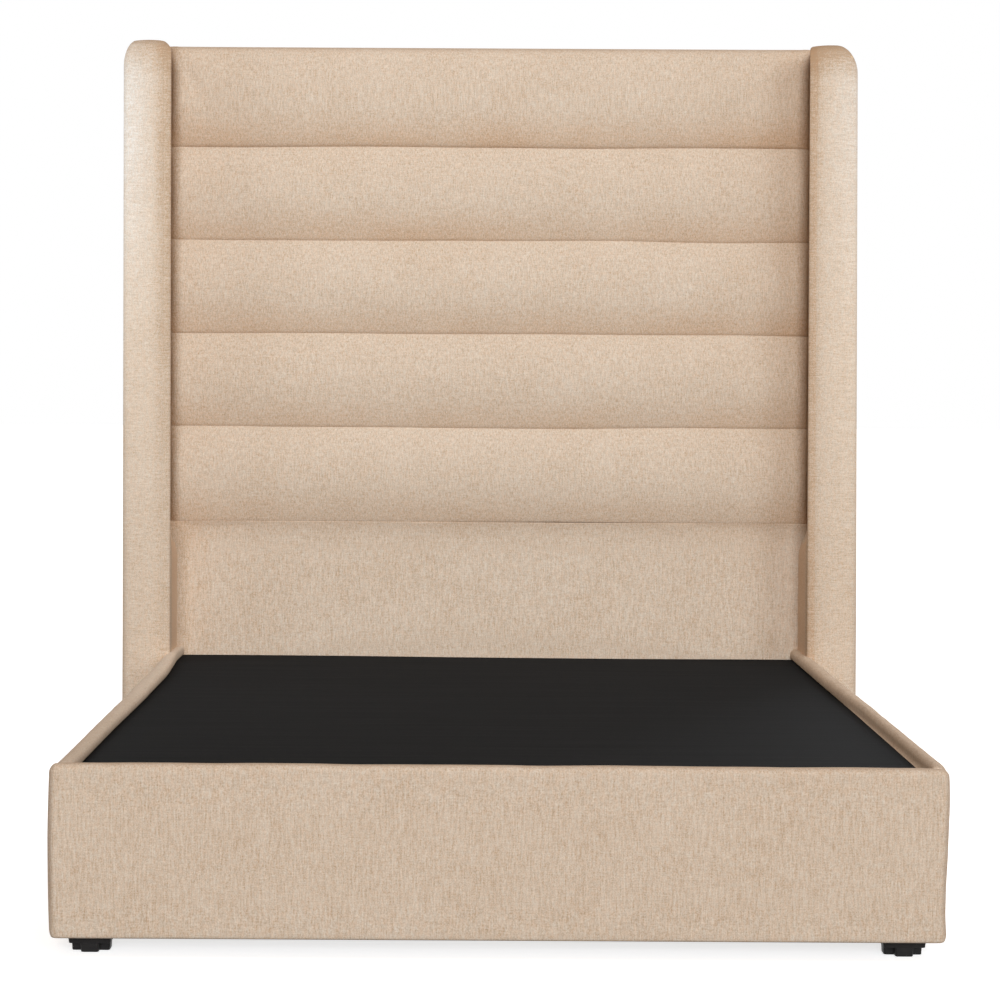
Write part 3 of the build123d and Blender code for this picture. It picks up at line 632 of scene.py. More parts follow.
# %% Make the five channels
for row in range(5):
    node = f"channel_pad_{row + 1}"
    low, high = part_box(node)
    low.x, high.x = -channel_half, channel_half
    low.z += seam_shift.get(row + 1, 0.0) - seam_closing
    if row > 0:
        high.z += seam_shift.get(row, 0.0) + seam_closing
    bm = new_block(low, Vector((high.x, panel_face, high.z)))
    cut(bm, 0, cut_places(low.x, high.x, 0.0125, crowd=0.55))
    margins = [low.z + seam_margin, high.z - seam_margin]
    cut(bm, 2, cut_places(low.z, high.z, 0.0115, crowd=0.6) + margins)
    cut(bm, 1, cut_places(low.y, panel_face, 0.022) + [low.y + seam_margin])
    shape_channel(bm, low, high, row == 0, last_seam_depth if row == 4 else channel_seam_depth)
    if row == 0:
        cut(bm, 2, [frame_top])
        backs = [f for f in bm.faces if f.normal.y > 0.9 and f.calc_center_median().z > frame_top]
        turned = bmesh.ops.extrude_face_region(bm, geom=backs)
        moved = [item for item in turned["geom"] if isinstance(item, bmesh.types.BMVert)]
        bmesh.ops.delete(bm, geom=backs, context="FACES")
        bmesh.ops.translate(bm, verts=moved, vec=Vector((0.0, board_back - panel_face, 0.0)))
    bmesh.ops.recalc_face_normals(bm, faces=bm.faces[:])
    channel = new_piece(f"channel_{row + 1}", bm)

    def is_held(place):
        on_board = place.y > panel_face - 0.5 * channel_seam_depth
        on_seam = place.z < low.z + 0.0005 or (row > 0 and place.z > high.z - 0.0005)
        return on_board or on_seam or abs(place.x) > channel_half - 0.0005

    moved = swell(channel, is_held, pressure=1.6, cap=0.004)
    smooth_once(channel)
    pucker_channel(channel, row, low, high)

    # Painted shade: warmer and darker above the seams, and towards the right wing whose shadow falls
    # there.
    def channel_painted_tint(place):
        rise = (place.z - low.z) / (high.z - low.z)
        patch = 1.0 + painted_shade_patches * ripple(place.x, 90 + row, 0.16)
        at_seam = smooth_rise(seam_painted_shade_reach - rise, 0.0, seam_painted_shade_reach)
        at_right = smooth_rise(place.x, 0.64, 0.79)
        return seam_painted_shade[row] * patch * at_seam + right_end_painted_shade * at_right

    # Painted shade: the left ends, in the crevice beside the wing, are made browner.
    def channel_painted_shade(place):
        return left_end_painted_shade * smooth_rise(-place.x, 0.768, 0.792)

    store(channel, "painted_tint", channel_painted_tint)
    store(channel, "painted_shade_and_highlight", channel_painted_shade)
    stand_for(channel, node, panel_cloth)
    print(channel.name, "swelled", round(1000 * moved, 1), "mm,", len(channel.data.polygons), "faces")

# %% [markdown]
# ## The lower panel
#
# Below the channels the headboard is only thinly padded, because a mattress will hide
# it. The panel is flat, a little slack, and drawn forward along the seam where it is
# sewn to the last channel. Up there the wings are hollowed behind their front edges, to
# take the ends of the channels; further down they are flat, and the panel ends at them.

# %% Make the lower panel
wing_hollow = 0.0235
hollow_from = Vector((0.0, 0.824, 0.580))
hollow_full = Vector((0.0, 0.968, 0.664))


def hollow(y, z):
    """How far the inner face of a wing gives way to the ends of the channels."""
    back = min(1.0, max(0.0, (y - hollow_from.y) / (hollow_full.y - hollow_from.y)))
    return wing_hollow * back * smooth_rise(z, hollow_from.z, hollow_full.z)


low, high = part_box("lower_pad")
pad_slack = 0.002
pad_tuck = 0.006
pad_flare_reach = 0.025
pad_cove = {1: 0.004, -1: 0.028}
pad_cove_reach = 0.040
pad_end_from = 0.70
pad_pucker = 0.0012
# Painted shade warms the cloth under the last seam and near both wings and browns its left end; a
# painted highlight pales its right end.
pad_seam_painted_shade = 0.22
pad_end_painted_shade = {1: 0.08, -1: 0.10}
pad_left_painted_shade = 0.32
pad_right_painted_highlight = 0.25
flare = last_seam_depth - (panel_face - low.y) + pad_slack
high.z += seam_shift[last_seam] + seam_closing
low.x -= pad_tuck
high.x += pad_tuck
bm = new_block(low, high)
cut(bm, 0, cut_places(low.x, high.x, 0.0125, crowd=0.4))
cut(bm, 2, cut_places(low.z, high.z, 0.0125, crowd=0.4) + [high.z - seam_margin])
cut(bm, 1, [low.y + seam_margin])
for vertex in bm.verts:
    if vertex.co.y < panel_face - 0.001:
        vertex.co.y += pad_slack
lower_panel = new_piece("lower_panel", bm)


def pad_is_held(place):
    on_seam = place.z > high.z - 0.0005
    return place.y > panel_face - 0.001 or on_seam or abs(place.x) > high.x - 0.0005


moved = swell(lower_panel, pad_is_held, pressure=1.2, cap=0.003)
smooth_once(lower_panel)
for vertex in lower_panel.data.vertices:
    place = vertex.co
    end = max(0.0, (abs(place.x) - pad_end_from) / (high.x - pad_end_from))
    place.x += math.copysign(hollow(high.y, place.z) * end, place.x)
    if place.y < panel_face - 0.004:
        gap = max(0.0, (high.z - place.z) / pad_flare_reach)
        pinch = math.exp(-gap)
        pucker = pad_pucker * ripple(place.x, 61, 0.028) * min(1.0, 4.0 * gap)
        place.y += (pucker - flare) * pinch
        climb = max(0.0, 1.0 - (high.x - abs(place.x)) / pad_cove_reach)
        place.y -= pad_cove[1 if place.x > 0 else -1] * climb * climb * (1.0 - pinch)


# Painted shade: warmer under the last seam and towards both wings.
def pad_painted_tint(place):
    at_seam = pad_seam_painted_shade * math.exp(-(high.z - place.z) / 0.03)
    at_right = pad_end_painted_shade[1] * smooth_rise(place.x, 0.58, 0.76)
    return at_seam + at_right + pad_end_painted_shade[-1] * smooth_rise(-place.x, 0.66, 0.76)


# Painted shade browns the left end; a painted highlight pales the right end.
def pad_painted_shade_and_highlight(place):
    at_left = pad_left_painted_shade * smooth_rise(-place.x, 0.735, 0.762)
    return at_left - pad_right_painted_highlight * smooth_rise(place.x, 0.70, 0.76)


store(lower_panel, "painted_tint", pad_painted_tint)
store(lower_panel, "painted_shade_and_highlight", pad_painted_shade_and_highlight)
stand_for(lower_panel, "lower_pad", panel_cloth)
print("lower panel swelled", round(1000 * moved, 1), "mm")

# %% [markdown]
# ## The wings
#
# Each wing is a tall padded box that runs from the floor line to the top of the
# headboard. Its outer top corner is a generous curve, its inner one is tight. The cloth
# is a skin here, open at the foot and the back, because boards stand inside it and the
# back has a cover of its own. The skin is blown up a little, so that its front and
# sides belly between the edges, and then thickened. Shade is painted into its cloth along
# the top and the inner front edge, and on the right wing along the welt and low down;
# painted light pales and warms the inner face, and a cool painted highlight pales the
# upper outer front. The two wings of the real bed are not quite alike, and light falls
# on them differently, so most values come in pairs: 1 is the right wing, -1 the left one.

# %% Make the wings
wing_inner_face = 0.7795
wing_front_radius = 0.014
wing_edge_radius = 0.006
wing_top_roll = 0.030
wing_top_reach = 0.060
wing_sink = {1: 0.0045, -1: 0.0}
# Painted shade and highlight: the next nine values brown the top, inner edge, band and foot, and pale
# and warm the inner face and the upper outer front.
wing_top_painted_shade = {1: 1.3, -1: 0.72}
wing_edge_painted_shade = {1: (0.20, 0.34), -1: (0.26, 0.62)}
wing_edge_reach = {1: 0.040, -1: 0.050}
wing_band_painted_shade = {1: 0.20, -1: 0.0}
wing_inside_painted_highlight = {1: -0.7, -1: -0.95}
wing_painted_highlight = {1: 0.55, -1: 1.0}
wing_foot_painted_shade = {1: 0.13, -1: 0.0}
wing_inside_painted_shade_tint = 0.55
wing_painted_shade_top_reach = 0.09
wing_crown_reach = 0.25
wing_roll_depth = 0.12
wing_belly_depth = 0.20
wing_hollow_width = 0.045
wing_belly = 0.045
wing_belly_from = 0.35
wing_drift_top = {1: (-0.0040, 0.0), -1: (0.0, 0.0036)}
wing_drift_foot = {1: (-0.0035, 0.0048), -1: (-0.0037, 0.0)}
wing_drift_from = 0.40
wing_drift_span = 1.44
wing_outer_radius = {1: 0.046, -1: 0.028}
wing_outer_stretch = {1: 1.5, -1: 2.1}
wing_inner_radius = {1: 0.007, -1: 0.024}
wing_crown = 0.0045
wing_welt = 0.0165
welt_depth = 0.0014
skin = 0.003


def make_wing(side):
    """Upholster one wing; the left one is made as the mirror image."""
    low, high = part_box("wing_cover_right")
    low.x = wing_inner_face
    outer_radius = wing_outer_radius[side]
    bm = new_block(low, high)

    def along_top(x):
        at_x = lambda a, b: max(abs(a.x - x), abs(b.x - x)) < 1e-5
        return lambda a, b: min(a.z, b.z) > high.z - 1e-5 and at_x(a, b)

    round_edges(bm, along_top(high.x), outer_radius, 8)
    round_edges(bm, along_top(low.x), wing_inner_radius[side], 4)
    stretch_corner(bm, high.z, high.x, outer_radius, wing_outer_stretch[side])

    def on_front(a, b):
        return max(a.y, b.y) < low.y + 1e-5 and max(a.z, b.z) > low.z + 1e-5

    def on_inner_edge(a, b):
        return on_front(a, b) and max(a.x, b.x) < low.x + 1e-5

    def off_inner_edge(a, b):
        return on_front(a, b) and min(a.x, b.x) > low.x + 1e-3

    round_edges(bm, on_inner_edge, wing_edge_radius, 3)
    round_edges(bm, off_inner_edge, wing_front_radius, 4)
    cut(bm, 2, cut_places(low.z, high.z, 0.014))
    cut(bm, 1, cut_places(low.y, high.y, 0.014)[1:])
    cut(bm, 0, [low.x + wing_welt + shift for shift in (-0.0018, 0.0, 0.0018)])
    cut(bm, 0, cut_places(low.x, high.x, 0.012)[2:-1])
    drop_faces(bm, lambda middle, normal: normal.z < -0.9 and middle.z < low.z + 1e-4)
    drop_faces(bm, lambda middle, normal: normal.y > 0.9 and middle.y > high.y - 1e-4)
    if side < 0:
        turn_to_left(bm)
    wing = new_piece("wing_right" if side > 0 else "wing_left", bm)

    def is_held(place):
        on_inner_side = abs(place.x) < low.x + 0.0005
        on_corner = place.z > high.z - 0.09 and abs(place.x) > high.x - 0.06
        return place.z < low.z + 0.02 or place.y > high.y - 0.02 or on_inner_side or on_corner

    moved = swell(wing, is_held, pressure=1.4, cap=0.0045)
    for vertex in wing.data.vertices:
        place = vertex.co
        across = (abs(place.x) - low.x) / (high.x - low.x)
        near_top = max(0.0, 1.0 - (high.z - place.z) / wing_crown_reach)
        rolled = max(0.0, 1.0 - (high.z - place.z) / wing_top_reach)
        ahead = max(0.0, 1.0 - (place.y - low.y) / wing_roll_depth)
        place.y += wing_top_roll * rolled * rolled * ahead
        place.z += wing_crown * near_top * max(0.0, 1.0 - (2.0 * across - 1.0) ** 2)
        place.z -= wing_sink[side] * near_top
        if place.y < low.y + 0.002 and abs(abs(place.x) - low.x - wing_welt) < 0.0005:
            place.y += welt_depth
        ahead = max(0.0, 1.0 - (place.y - low.y) / wing_belly_depth)
        place.y += wing_belly * (min(1.0, max(0.0, across)) - wing_belly_from) ** 2 * ahead
        beside = max(0.0, 1.0 - (abs(place.x) - low.x) / wing_hollow_width)
        place.x += side * hollow(place.y, place.z) * beside
        up = min(1.0, max(0.0, (place.z - wing_drift_from) / wing_drift_span))
        drifts = zip((1.0 - across, across), wing_drift_top[side], wing_drift_foot[side])
        for share, top, foot in drifts:
            place.x += side * share * (foot + (top - foot) * up)
    smooth_once(wing)

    def in_band(place):
        on_front_strip = abs(place.x) - low.x < wing_welt - 0.002 and place.y < low.y + 0.03
        return wing_band_painted_shade[side] if on_front_strip else 0.0

    def behind_edge(place):
        return smooth_rise(place.y, low.y + 0.02, low.y + 0.06)

    # Painted shade browns the top, the inner front edge, the band and the foot; a painted highlight
    # pales the inner face.
    def wing_painted_shade_and_highlight(place):
        from_edge = abs(place.x) - low.x
        reach = wing_edge_reach[side]
        at_top = wing_top_painted_shade[side] * max(0.0, 1.0 - (high.z - place.z) / wing_painted_shade_top_reach)
        ahead = max(0.0, 1.0 - (place.y - low.y) / 0.06)
        at_edge = ahead * smooth_rise(reach - from_edge, 0.0, reach - 0.005)
        at_foot, up_high = wing_edge_painted_shade[side]
        at_edge *= at_foot + (up_high - at_foot) * smooth_rise(place.z, 0.6, 1.5)
        at_floor = wing_foot_painted_shade[side] * smooth_rise(0.95 - place.z, 0.0, 0.45)
        inside = behind_edge(place) * smooth_rise(0.006 - from_edge, 0.0, 0.004)
        return at_top + at_edge + in_band(place) + at_floor + inside * wing_inside_painted_highlight[side]

    # Painted tint: warmer band and inner face for painted shade, cooler and paler upper outer front for
    # a painted highlight.
    def wing_painted_tint(place):
        across = (abs(place.x) - low.x) / (high.x - low.x)
        highlight = wing_painted_highlight[side] * smooth_rise(place.z, 1.0, 1.7) * smooth_rise(across, 0.1, 0.95)
        highlight *= smooth_rise(low.y + 0.13 - place.y, 0.0, 0.09)
        inside = behind_edge(place) * (abs(place.x) - low.x < 0.004)
        return in_band(place) - highlight + wing_inside_painted_shade_tint * inside

    store(wing, "painted_shade_and_highlight", wing_painted_shade_and_highlight)
    store(wing, "painted_tint", wing_painted_tint)
    give_thickness(wing, skin)
    stand_for(wing, "wing_cover_right" if side > 0 else "wing_cover_left", wing_cloth)
    print(wing.name, "swelled", round(1000 * moved, 1), "mm,", len(wing.data.polygons), "faces")


make_wing(1)
make_wing(-1)

# %% [markdown]
# ## The padded rails
#
# The rails are boards wrapped in thin wadding and cloth. Their top edges roll over to
# the deck, their outsides bulge by a few millimetres and tuck in at the foot. The wadding
# is not even, so the roll of each side rail sways over the deck and has a few creases.
# As with the wings, each cover is a skin that leaves the inside of its board bare. It is
# shaped by moving its points alone, because thin wadding hardly swells.

# %% Make the side rails
rail_inner_roll = 0.012
rail_outer_roll = {1: 0.018, -1: 0.021}
rail_outer_stretch = {1: 1.2, -1: 1.6}
rail_outer_sway = {1: 1.0, -1: 0.3}
rail_drop = {1: 0.0, -1: 0.003}
rail_head_lift = {1: 0.002, -1: 0.010}
# Painted highlight: the top of the left rail is painted paler.
rail_painted_highlight = {1: 0.0, -1: -0.65}
rail_hem = 0.006
rail_roll_from = 0.26
rail_ripple = 0.0010
rail_crease_depth = 0.0022
rail_tuck = 0.004
rail_tuck_reach = 0.030
deck_lift = 0.0045
rail_bulge = 0.003
rail_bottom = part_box("foot_rail_cover")[0].z
rail_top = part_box("foot_rail_cover")[1].z
rail_board_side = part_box("side_rail_board_right")[0].x
rail_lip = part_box("deck_board_foot")[0].z + 0.0004
deck_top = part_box("deck_cover")[1].z


def belly(z):
    """Outward bulge of a rail at a height, from 0 at its edges to 1."""
    rise = (z - rail_bottom) / (rail_top - rail_bottom)
    return max(0.0, math.sin(math.pi * min(1.0, max(0.0, rise)) ** 0.85))


def crease(y, middle, width):
    """A soft bump along the rail, 1 at its middle."""
    return math.exp(-(((y - middle) / width) ** 2))


def rail_sway(side, y):
    """How far the roll of a rail leans over the deck; the padding is not quite even."""
    along = (y + 1.04) / 2.04
    if side > 0:
        return 0.0055 * along - 0.0040 * (1.0 - along)
    return 0.0030 + 0.0030 * along + 0.0045 * crease(y, 0.52, 0.17) - 0.0030 * crease(y, 0.87, 0.10)


def rail_fullness(side, y):
    """How much further the inner half of the roll reaches over the deck."""
    if side > 0:
        return 0.0045 - 0.0080 * smooth_rise(-y, -0.4, 0.2)
    return 0.0040 + 0.0070 * crease(y, 0.15, 0.45) - 0.0015 * crease(y, 0.90, 0.16)


rail_creases = {1: [0.06, 0.21, -0.55, 0.44], -1: [0.33, 0.10, -0.20, -0.63, 0.62]}


def make_side_rail(side):
    """Upholster one side rail; the left one is made as the mirror image."""
    low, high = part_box("side_rail_cover_right")
    outer = high.x - rail_bulge
    roll = rail_outer_roll[side]
    bm = new_block(low, Vector((outer, high.y, high.z)))
    inner_top = lambda a, b: min(a.z, b.z) > high.z - 1e-5 and max(a.x, b.x) < low.x + 1e-5
    round_edges(bm, inner_top, rail_inner_roll, 5)
    outer_top = lambda a, b: min(a.z, b.z) > high.z - 1e-5 and min(a.x, b.x) > outer - 1e-5
    round_edges(bm, outer_top, roll, 6)
    stretch_corner(bm, high.z, outer, roll, rail_outer_stretch[side])
    at_hem = lambda a, b: max(a.z, b.z) < low.z + 1e-5 and min(a.x, b.x) > outer - 1e-5
    round_edges(bm, at_hem, rail_hem, 3)
    cut(bm, 1, cut_places(low.y, high.y, 0.0145))
    cut(bm, 2, cut_places(low.z, high.z, 0.0145)[1:-1] + [rail_lip, deck_top, deck_top + 0.0005])
    cut(bm, 0, [rail_board_side])
    drop_faces(bm, lambda middle, normal: abs(normal.y) > 0.9)
    drop_faces(bm, lambda middle, normal: normal.x < -0.9 and middle.z < rail_lip)
    drop_faces(bm, lambda middle, normal: normal.z < -0.9 and middle.x < rail_board_side)
    for vertex in bm.verts:
        place = vertex.co
        up = max(0.0, (place.z - rail_roll_from) / (rail_top - rail_roll_from))
        if place.x > rail_board_side + 0.006:
            place.x += rail_bulge * belly(place.z)
        if place.z > deck_top + 0.0003:
            raised = (place.z - deck_top) / (rail_top - deck_top)
            place.z += raised * (rail_ripple * ripple(place.y, 71 + side, 0.075) - rail_drop[side])
            creased = sum(crease(place.y, spot, 0.008) for spot in rail_creases[side])
            place.z -= raised * rail_crease_depth * creased
            inside = max(0.0, 1.0 - (place.x - low.x) / (outer - low.x))
            place.z += raised * inside * rail_head_lift[side] * smooth_rise(place.y, -0.2, 1.0)
            if side < 0:
                place.z += (1.0 - raised) * deck_lift * smooth_rise(place.y, 0.3, 1.0)
            share = rail_outer_sway[side] + (1.0 - rail_outer_sway[side]) * inside
            place.x -= rail_sway(side, place.y) * share + rail_fullness(side, place.y) * inside
        elif place.z > rail_top - 0.06 and place.x > rail_board_side:
            place.x -= rail_sway(side, place.y) * up * rail_outer_sway[side]
        tuck = max(0.0, 1.0 - (place.y - low.y) / rail_tuck_reach) ** 2
        if place.x > rail_board_side:
            place.x -= rail_tuck * tuck
        if place.z > rail_top - 0.04:
            place.z -= rail_tuck * tuck
    if side < 0:
        turn_to_left(bm)
    rail = new_piece("side_rail_right" if side > 0 else "side_rail_left", bm)
    smooth_once(rail)

    # Painted highlight: paler towards the top of the rail.
    def rail_painted_highlight_at(place):
        return rail_painted_highlight[side] * smooth_rise(place.z, deck_top - 0.01, rail_top)

    store(rail, "painted_shade_and_highlight", rail_painted_highlight_at)
    give_thickness(rail, skin)
    cover = "side_rail_cover_right" if side > 0 else "side_rail_cover_left"
    stand_for(rail, cover, panel_cloth)
    print(rail.name, len(rail.data.polygons), "faces")


make_side_rail(1)
make_side_rail(-1)

# %% [markdown]
# The foot rail turns both corners, so its cover is rounded in plan and in front view.
# Its left end draws in a little at the top and at the foot, its right end dips in low
# down, and its top edge slopes slightly and droops at the corners. All of this is drawn
# by moving the points near the ends and the top.

# %% Make the foot rail
foot_corner = 0.017
foot_roll = 0.012
foot_slope = 0.0027
foot_end_round = 0.009
foot_end_reach = 0.06
foot_top_reach = 0.06
foot_droop = {1: 0.003, -1: 0.008}
foot_droop_reach = 0.024
foot_ripple = 0.0008


def end_lean(side, rise):
    """How far an end of the foot rail draws in, for a rise from 0 at the foot to 1."""
    if side < 0:
        return 0.0045 * (1.0 - rise) ** 3.0 + 0.0075 * max(0.0, rise - 0.6)
    return 0.0052 * crease(rise, 0.20, 0.25) - 0.0020 * crease(rise, 0.82, 0.15)


low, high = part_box("foot_rail_cover")
front = low.y + rail_bulge
bm = new_block(Vector((low.x, front, low.z)), high)
upright_front = lambda a, b: max(a.y, b.y) < front + 1e-5 and abs(a.z - b.z) > 0.1
round_edges(bm, upright_front, foot_corner, 6)
round_edges(bm, lambda a, b: min(a.z, b.z) > high.z - 1e-5, foot_roll, 5)
outside_foot = lambda a, b: max(a.z, b.z) < low.z + 1e-5 and min(a.y, b.y) < high.y - 1e-4
round_edges(bm, outside_foot, rail_hem, 3)
cut(bm, 0, cut_places(low.x, high.x, 0.0145)[2:-2])
cut(bm, 2, cut_places(low.z, high.z, 0.0145)[1:-1] + [rail_lip])
cut(bm, 1, [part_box("foot_rail_board")[1].y])
drop_faces(bm, lambda middle, normal: normal.y > 0.9 and middle.z < rail_lip)
drop_faces(bm, lambda middle, normal: normal.z < -0.9 and middle.y > front + 0.008)
for vertex in bm.verts:
    place = vertex.co
    rise = (place.z - low.z) / (high.z - low.z)
    side = 1 if place.x > 0 else -1
    if place.y < front + 0.004:
        place.y -= rail_bulge * belly(place.z)
    if abs(place.x) > high.x - foot_end_reach:
        share = (abs(place.x) - high.x + foot_end_reach) / foot_end_reach
        place.x -= side * end_lean(side, rise) * min(1.0, share)
        turn = min(1.0, max(0.0, 1.0 + (abs(place.x) - high.x + 0.004) / foot_end_round))
        lift = foot_end_round * (1.0 - math.sqrt(1.0 - turn * turn))
        place.z += lift * max(0.0, 1.0 - (place.z - low.z) / 0.03)
    if place.z > high.z - foot_top_reach:
        raised = (place.z - high.z + foot_top_reach) / foot_top_reach
        corner = max(0.0, (abs(place.x) - high.x + foot_droop_reach) / foot_droop_reach)
        slope = foot_slope * (0.5 + 0.5 * place.x / high.x)
        place.z -= raised * (slope + foot_droop[side] * corner * corner)
        place.z += raised * foot_ripple * ripple(place.x, 81, 0.09)
foot_rail = new_piece("foot_rail", bm)
smooth_once(foot_rail)
give_thickness(foot_rail, skin)
stand_for(foot_rail, "foot_rail_cover", panel_cloth)
print("foot rail", len(foot_rail.data.polygons), "faces")

# %% [markdown]
# ## Stretched cloth: the deck and the back
#
# The deck is one black sheet pulled over two boards and down their edges. The back of
# the headboard is one flat sheet. Both are thin cloth under tension, so neither is a
# cushion: the deck is a grid with a turned edge, and the back is a thin slab, rounded at
# the top as the wings are.

# %% Stretch the deck cloth
low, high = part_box("deck_cover")
deck_wall = 0.0012
deck_widening = 0.006
deck_slack = 0.0003
bm = bmesh.new()
flat_size = Matrix.Diagonal((high.x - low.x, high.y - low.y, 1.0, 1.0))
middle = Vector(((low.x + high.x) / 2, (low.y + high.y) / 2, high.z))
bmesh.ops.create_grid(
    bm, x_segments=60, y_segments=80, size=0.5, matrix=Matrix.Translation(middle) @ flat_size
)
rim = [edge for edge in bm.edges if edge.is_boundary]
turned = bmesh.ops.extrude_edge_only(bm, edges=rim)
edge_points = [item for item in turned["geom"] if isinstance(item, bmesh.types.BMVert)]
bmesh.ops.translate(bm, verts=edge_points, vec=Vector((0.0, 0.0, low.z - high.z)))
bmesh.ops.recalc_face_normals(bm, faces=bm.faces[:])
if sum(face.normal.z for face in bm.faces) < 0:
    bmesh.ops.reverse_faces(bm, faces=bm.faces[:])
for vertex in bm.verts:
    if vertex.co.x > high.x - 1e-5:
        vertex.co.x += deck_widening * smooth_rise(-vertex.co.y, -0.4, 0.4)
    if vertex.co.z > high.z - 1e-5:
        to_left = smooth_rise(-vertex.co.x, -0.4, 0.7)
        vertex.co.z += deck_lift * to_left * smooth_rise(vertex.co.y, 0.3, 1.0)
        vertex.co.z -= deck_slack + deck_slack * noise.noise(vertex.co * 4.0)
deck = new_piece("deck_cloth", bm)
for polygon in deck.data.polygons:
    polygon.use_smooth = abs(polygon.normal.z) > 0.5
give_thickness(deck, deck_wall)
stand_for(deck, "deck_cover", black_cloth)

# %% Stretch the back cloth
back_edge_turn = 0.0007
back_edge_reach = 0.03
low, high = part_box("headboard_back_cover")
bm = new_block(low, high)


def level_top(a, b):
    return min(a.z, b.z) > high.z - 1e-5 and abs(a.y - b.y) > 1e-4


for side, radius in wing_outer_radius.items():
    round_edges(bm, lambda a, b: level_top(a, b) and side * a.x > 0.0, radius, 8)
    stretch_corner(bm, high.z, high.x, radius, wing_outer_stretch[side], side)
cut(bm, 0, cut_places(low.x, high.x, 0.06))
cut(bm, 2, cut_places(low.z, high.z, 0.06))
for vertex in bm.verts:
    near_top = max(0.0, 1.0 - (high.z - vertex.co.z) / wing_crown_reach)
    sink = wing_sink[1 if vertex.co.x > 0 else -1] * smooth_rise(abs(vertex.co.x), 0.74, 0.80)
    vertex.co.z -= sink * near_top
    if vertex.co.y > high.y - 1e-5:
        inside = min(high.x - abs(vertex.co.x), high.z - vertex.co.z, vertex.co.z - low.z)
        vertex.co.y -= back_edge_turn * max(0.0, 1.0 - inside / back_edge_reach)
back_cloth = new_piece("back_cloth", bm)
stand_for(back_cloth, "headboard_back_cover", panel_cloth)

# %% [markdown]
# ## The moulded feet
#
# A foot is one moulding: a thin plate under the rail, a square block that tapers
# slightly, and a cross of four lobes that stands on the floor. Each part is a block with
# its edges rounded, because moulded plastic never has a sharp edge, and a thin line of
# light along such edges is what makes it read as plastic.

# %% Make the feet
foot_edge = 0.0012
plate_height = 0.0025
block_height = 0.015
block_half = 0.039
lobe_half_width = 0.017
lobe_reach = 0.035
smooth_area = 6e-5


def foot_part(bm, low, high, taper, edge):
    """Add one block of a foot, narrower below by the taper, with rounded edges."""
    part = new_block(low, high)
    middle = (low + high) / 2
    for vertex in part.verts:
        if vertex.co.z < middle.z:
            for axis in (0, 1):
                vertex.co[axis] -= math.copysign(taper, vertex.co[axis] - middle[axis])
    round_edges(part, lambda a, b: abs(a.z - b.z) > 1e-4, 4.0 * edge, 4)
    round_edges(part, lambda a, b: abs(a.z - b.z) < 1e-6, edge, 2)
    mesh = bpy.data.meshes.new("foot_part")
    part.to_mesh(mesh)
    part.free()
    bm.from_mesh(mesh)
    bpy.data.meshes.remove(mesh)


for corner in ("front_left", "front_right", "headboard_left", "headboard_right"):
    node = f"foot_{corner}"
    low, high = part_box(node)
    middle = (low + high) / 2
    plate_low = high.z - plate_height
    block_low = plate_low - block_height
    bm = bmesh.new()
    foot_part(bm, Vector((low.x, low.y, plate_low)), high, 0.0, 0.0008)
    block_from = Vector((middle.x - block_half, middle.y - block_half, block_low))
    block_to = Vector((middle.x + block_half, middle.y + block_half, plate_low + 0.0005))
    foot_part(bm, block_from, block_to, 0.0016, foot_edge)
    for reach_x, reach_y in ((lobe_half_width, lobe_reach), (lobe_reach, lobe_half_width)):
        lobe_from = Vector((middle.x - reach_x, middle.y - reach_y, 0.0))
        lobe_to = Vector((middle.x + reach_x, middle.y + reach_y, block_low + 0.001))
        foot_part(bm, lobe_from, lobe_to, 0.001, foot_edge)
    foot = new_piece(f"moulded_foot_{corner}", bm)
    for polygon in foot.data.polygons:
        polygon.use_smooth = polygon.area < smooth_area
    stand_for(foot, node, foot_plastic)
print("four moulded feet")

# %% [markdown]
# ## Studio floor and light
#
# The photograph is a cut-out on white. The floor is a large pale sheet that the camera
# sees almost as white, and that still darkens a little in the shadow of the bed. The sky
# is plain white to the camera and a soft warm fill for everything else. A broad lamp
# shines from the front and a weaker one from the right, so the right wing shades the
# panel beside it. A softbox hangs high above the deck, aimed at the headboard, and two
# small cool ones, beside the wings, pick out their outer edges. One more lamp lights the
# back.

# %% Lay the floor
def background_rays(tree):
    """1 for rays that show the background: straight to the camera, mirrored or passed through."""
    path = add_node(tree, "ShaderNodeLightPath")
    seen = path.outputs["Is Camera Ray"]
    for kind in ("Is Glossy Ray", "Is Transmission Ray"):
        sources = [(0, seen), (1, path.outputs[kind])]
        seen = add_node(tree, "ShaderNodeMath", sources, operation="MAXIMUM").outputs[0]
    return seen


bm = bmesh.new()
bmesh.ops.create_grid(bm, x_segments=1, y_segments=1, size=40.0)
floor = new_piece("studio_floor", bm)
material, tree, shader = new_finish("pale_floor")
shader.inputs["Base Color"].default_value = (0.25, 0.25, 0.25, 1.0)
shader.inputs["Roughness"].default_value = 0.95
glow = add_node(tree, "ShaderNodeEmission")
glow.inputs["Strength"].default_value = 0.72
paper = add_node(tree, "ShaderNodeBsdfDiffuse")
paper.inputs["Color"].default_value = (0.9, 0.9, 0.9, 1.0)
bright = add_node(tree, "ShaderNodeAddShader", [(0, glow.outputs[0]), (1, paper.outputs[0])])
sources = [(0, background_rays(tree)), (1, shader.outputs[0]), (2, bright.outputs[0])]
blend = add_node(tree, "ShaderNodeMixShader", sources)
tree.links.new(blend.outputs[0], tree.nodes["Material Output"].inputs["Surface"])
floor.data.materials.append(material)
print("floor laid")

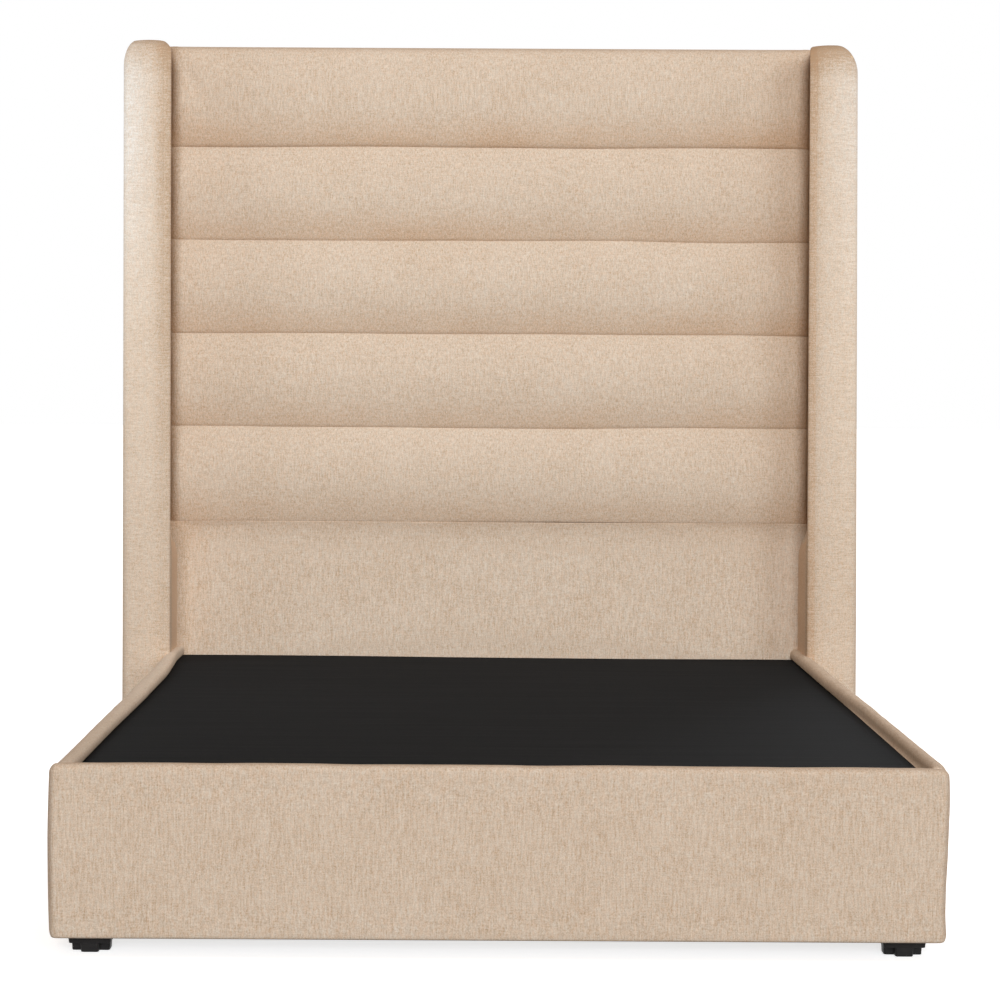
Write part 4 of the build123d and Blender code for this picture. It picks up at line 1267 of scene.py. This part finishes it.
# %% Light the studio
fill_strength = 0.27
fill_colour = (1.0, 0.70, 0.47)
key_colour = (0.96, 1.01, 1.07)
edge_colour = (0.78, 0.89, 1.0)
lamps = [
    ("front", 0.0, 15.0, 14.0, 1.58),
    ("side", 28.0, 18.0, 30.0, 0.78),
    ("back", 170.0, 18.0, 40.0, 1.5),
]
softboxes = [
    ("middle", (0.3, -1.8, 3.6), (0.0, 0.9, 1.4), 2.0, 13.0, key_colour),
    ("left_edge", (-1.75, 0.45, 1.55), (-0.85, 0.85, 1.5), 0.8, 7.4, edge_colour),
    ("right_edge", (1.75, 0.45, 1.45), (0.85, 0.85, 1.4), 0.8, 4.6, edge_colour),
]

world = bpy.data.worlds.new("studio")
scene.world = world
world.use_nodes = True
tree = world.node_tree
fill = tree.nodes["Background"]
fill.inputs["Color"].default_value = (*fill_colour, 1.0)
fill.inputs["Strength"].default_value = fill_strength
white = add_node(tree, "ShaderNodeBackground")
white.inputs["Strength"].default_value = 1.0
white.inputs["Color"].default_value = (1.0, 1.0, 1.0, 1.0)
sources = [(0, background_rays(tree)), (1, fill.outputs[0]), (2, white.outputs[0])]
sky = add_node(tree, "ShaderNodeMixShader", sources)
tree.links.new(sky.outputs[0], tree.nodes["World Output"].inputs["Surface"])

for name, to_right, above, width, strength in lamps:
    lamp = bpy.data.lights.new(f"{name}_lamp", "SUN")
    lamp.angle = math.radians(width)
    lamp.energy = strength
    lamp.color = key_colour
    stand = bpy.data.objects.new(f"{name}_lamp", lamp)
    scene.collection.objects.link(stand)
    toward = Matrix.Rotation(math.radians(to_right), 3, "Z") @ Vector((0.0, -1.0, 0.0))
    toward = toward * math.cos(math.radians(above)) + Vector((0.0, 0.0, math.sin(math.radians(above))))
    stand.rotation_euler = (-toward).to_track_quat("-Z", "Y").to_euler()
for name, place, aim, size, power, colour in softboxes:
    lamp = bpy.data.lights.new(f"{name}_softbox", "AREA")
    lamp.shape = "DISK"
    lamp.size = size
    lamp.energy = power
    lamp.color = colour
    stand = bpy.data.objects.new(f"{name}_softbox", lamp)
    scene.collection.objects.link(stand)
    stand.location = place
    stand.rotation_euler = (Vector(aim) - Vector(place)).to_track_quat("-Z", "Y").to_euler()
print("studio lit by", len(lamps) + len(softboxes), "lamps and a white sky")
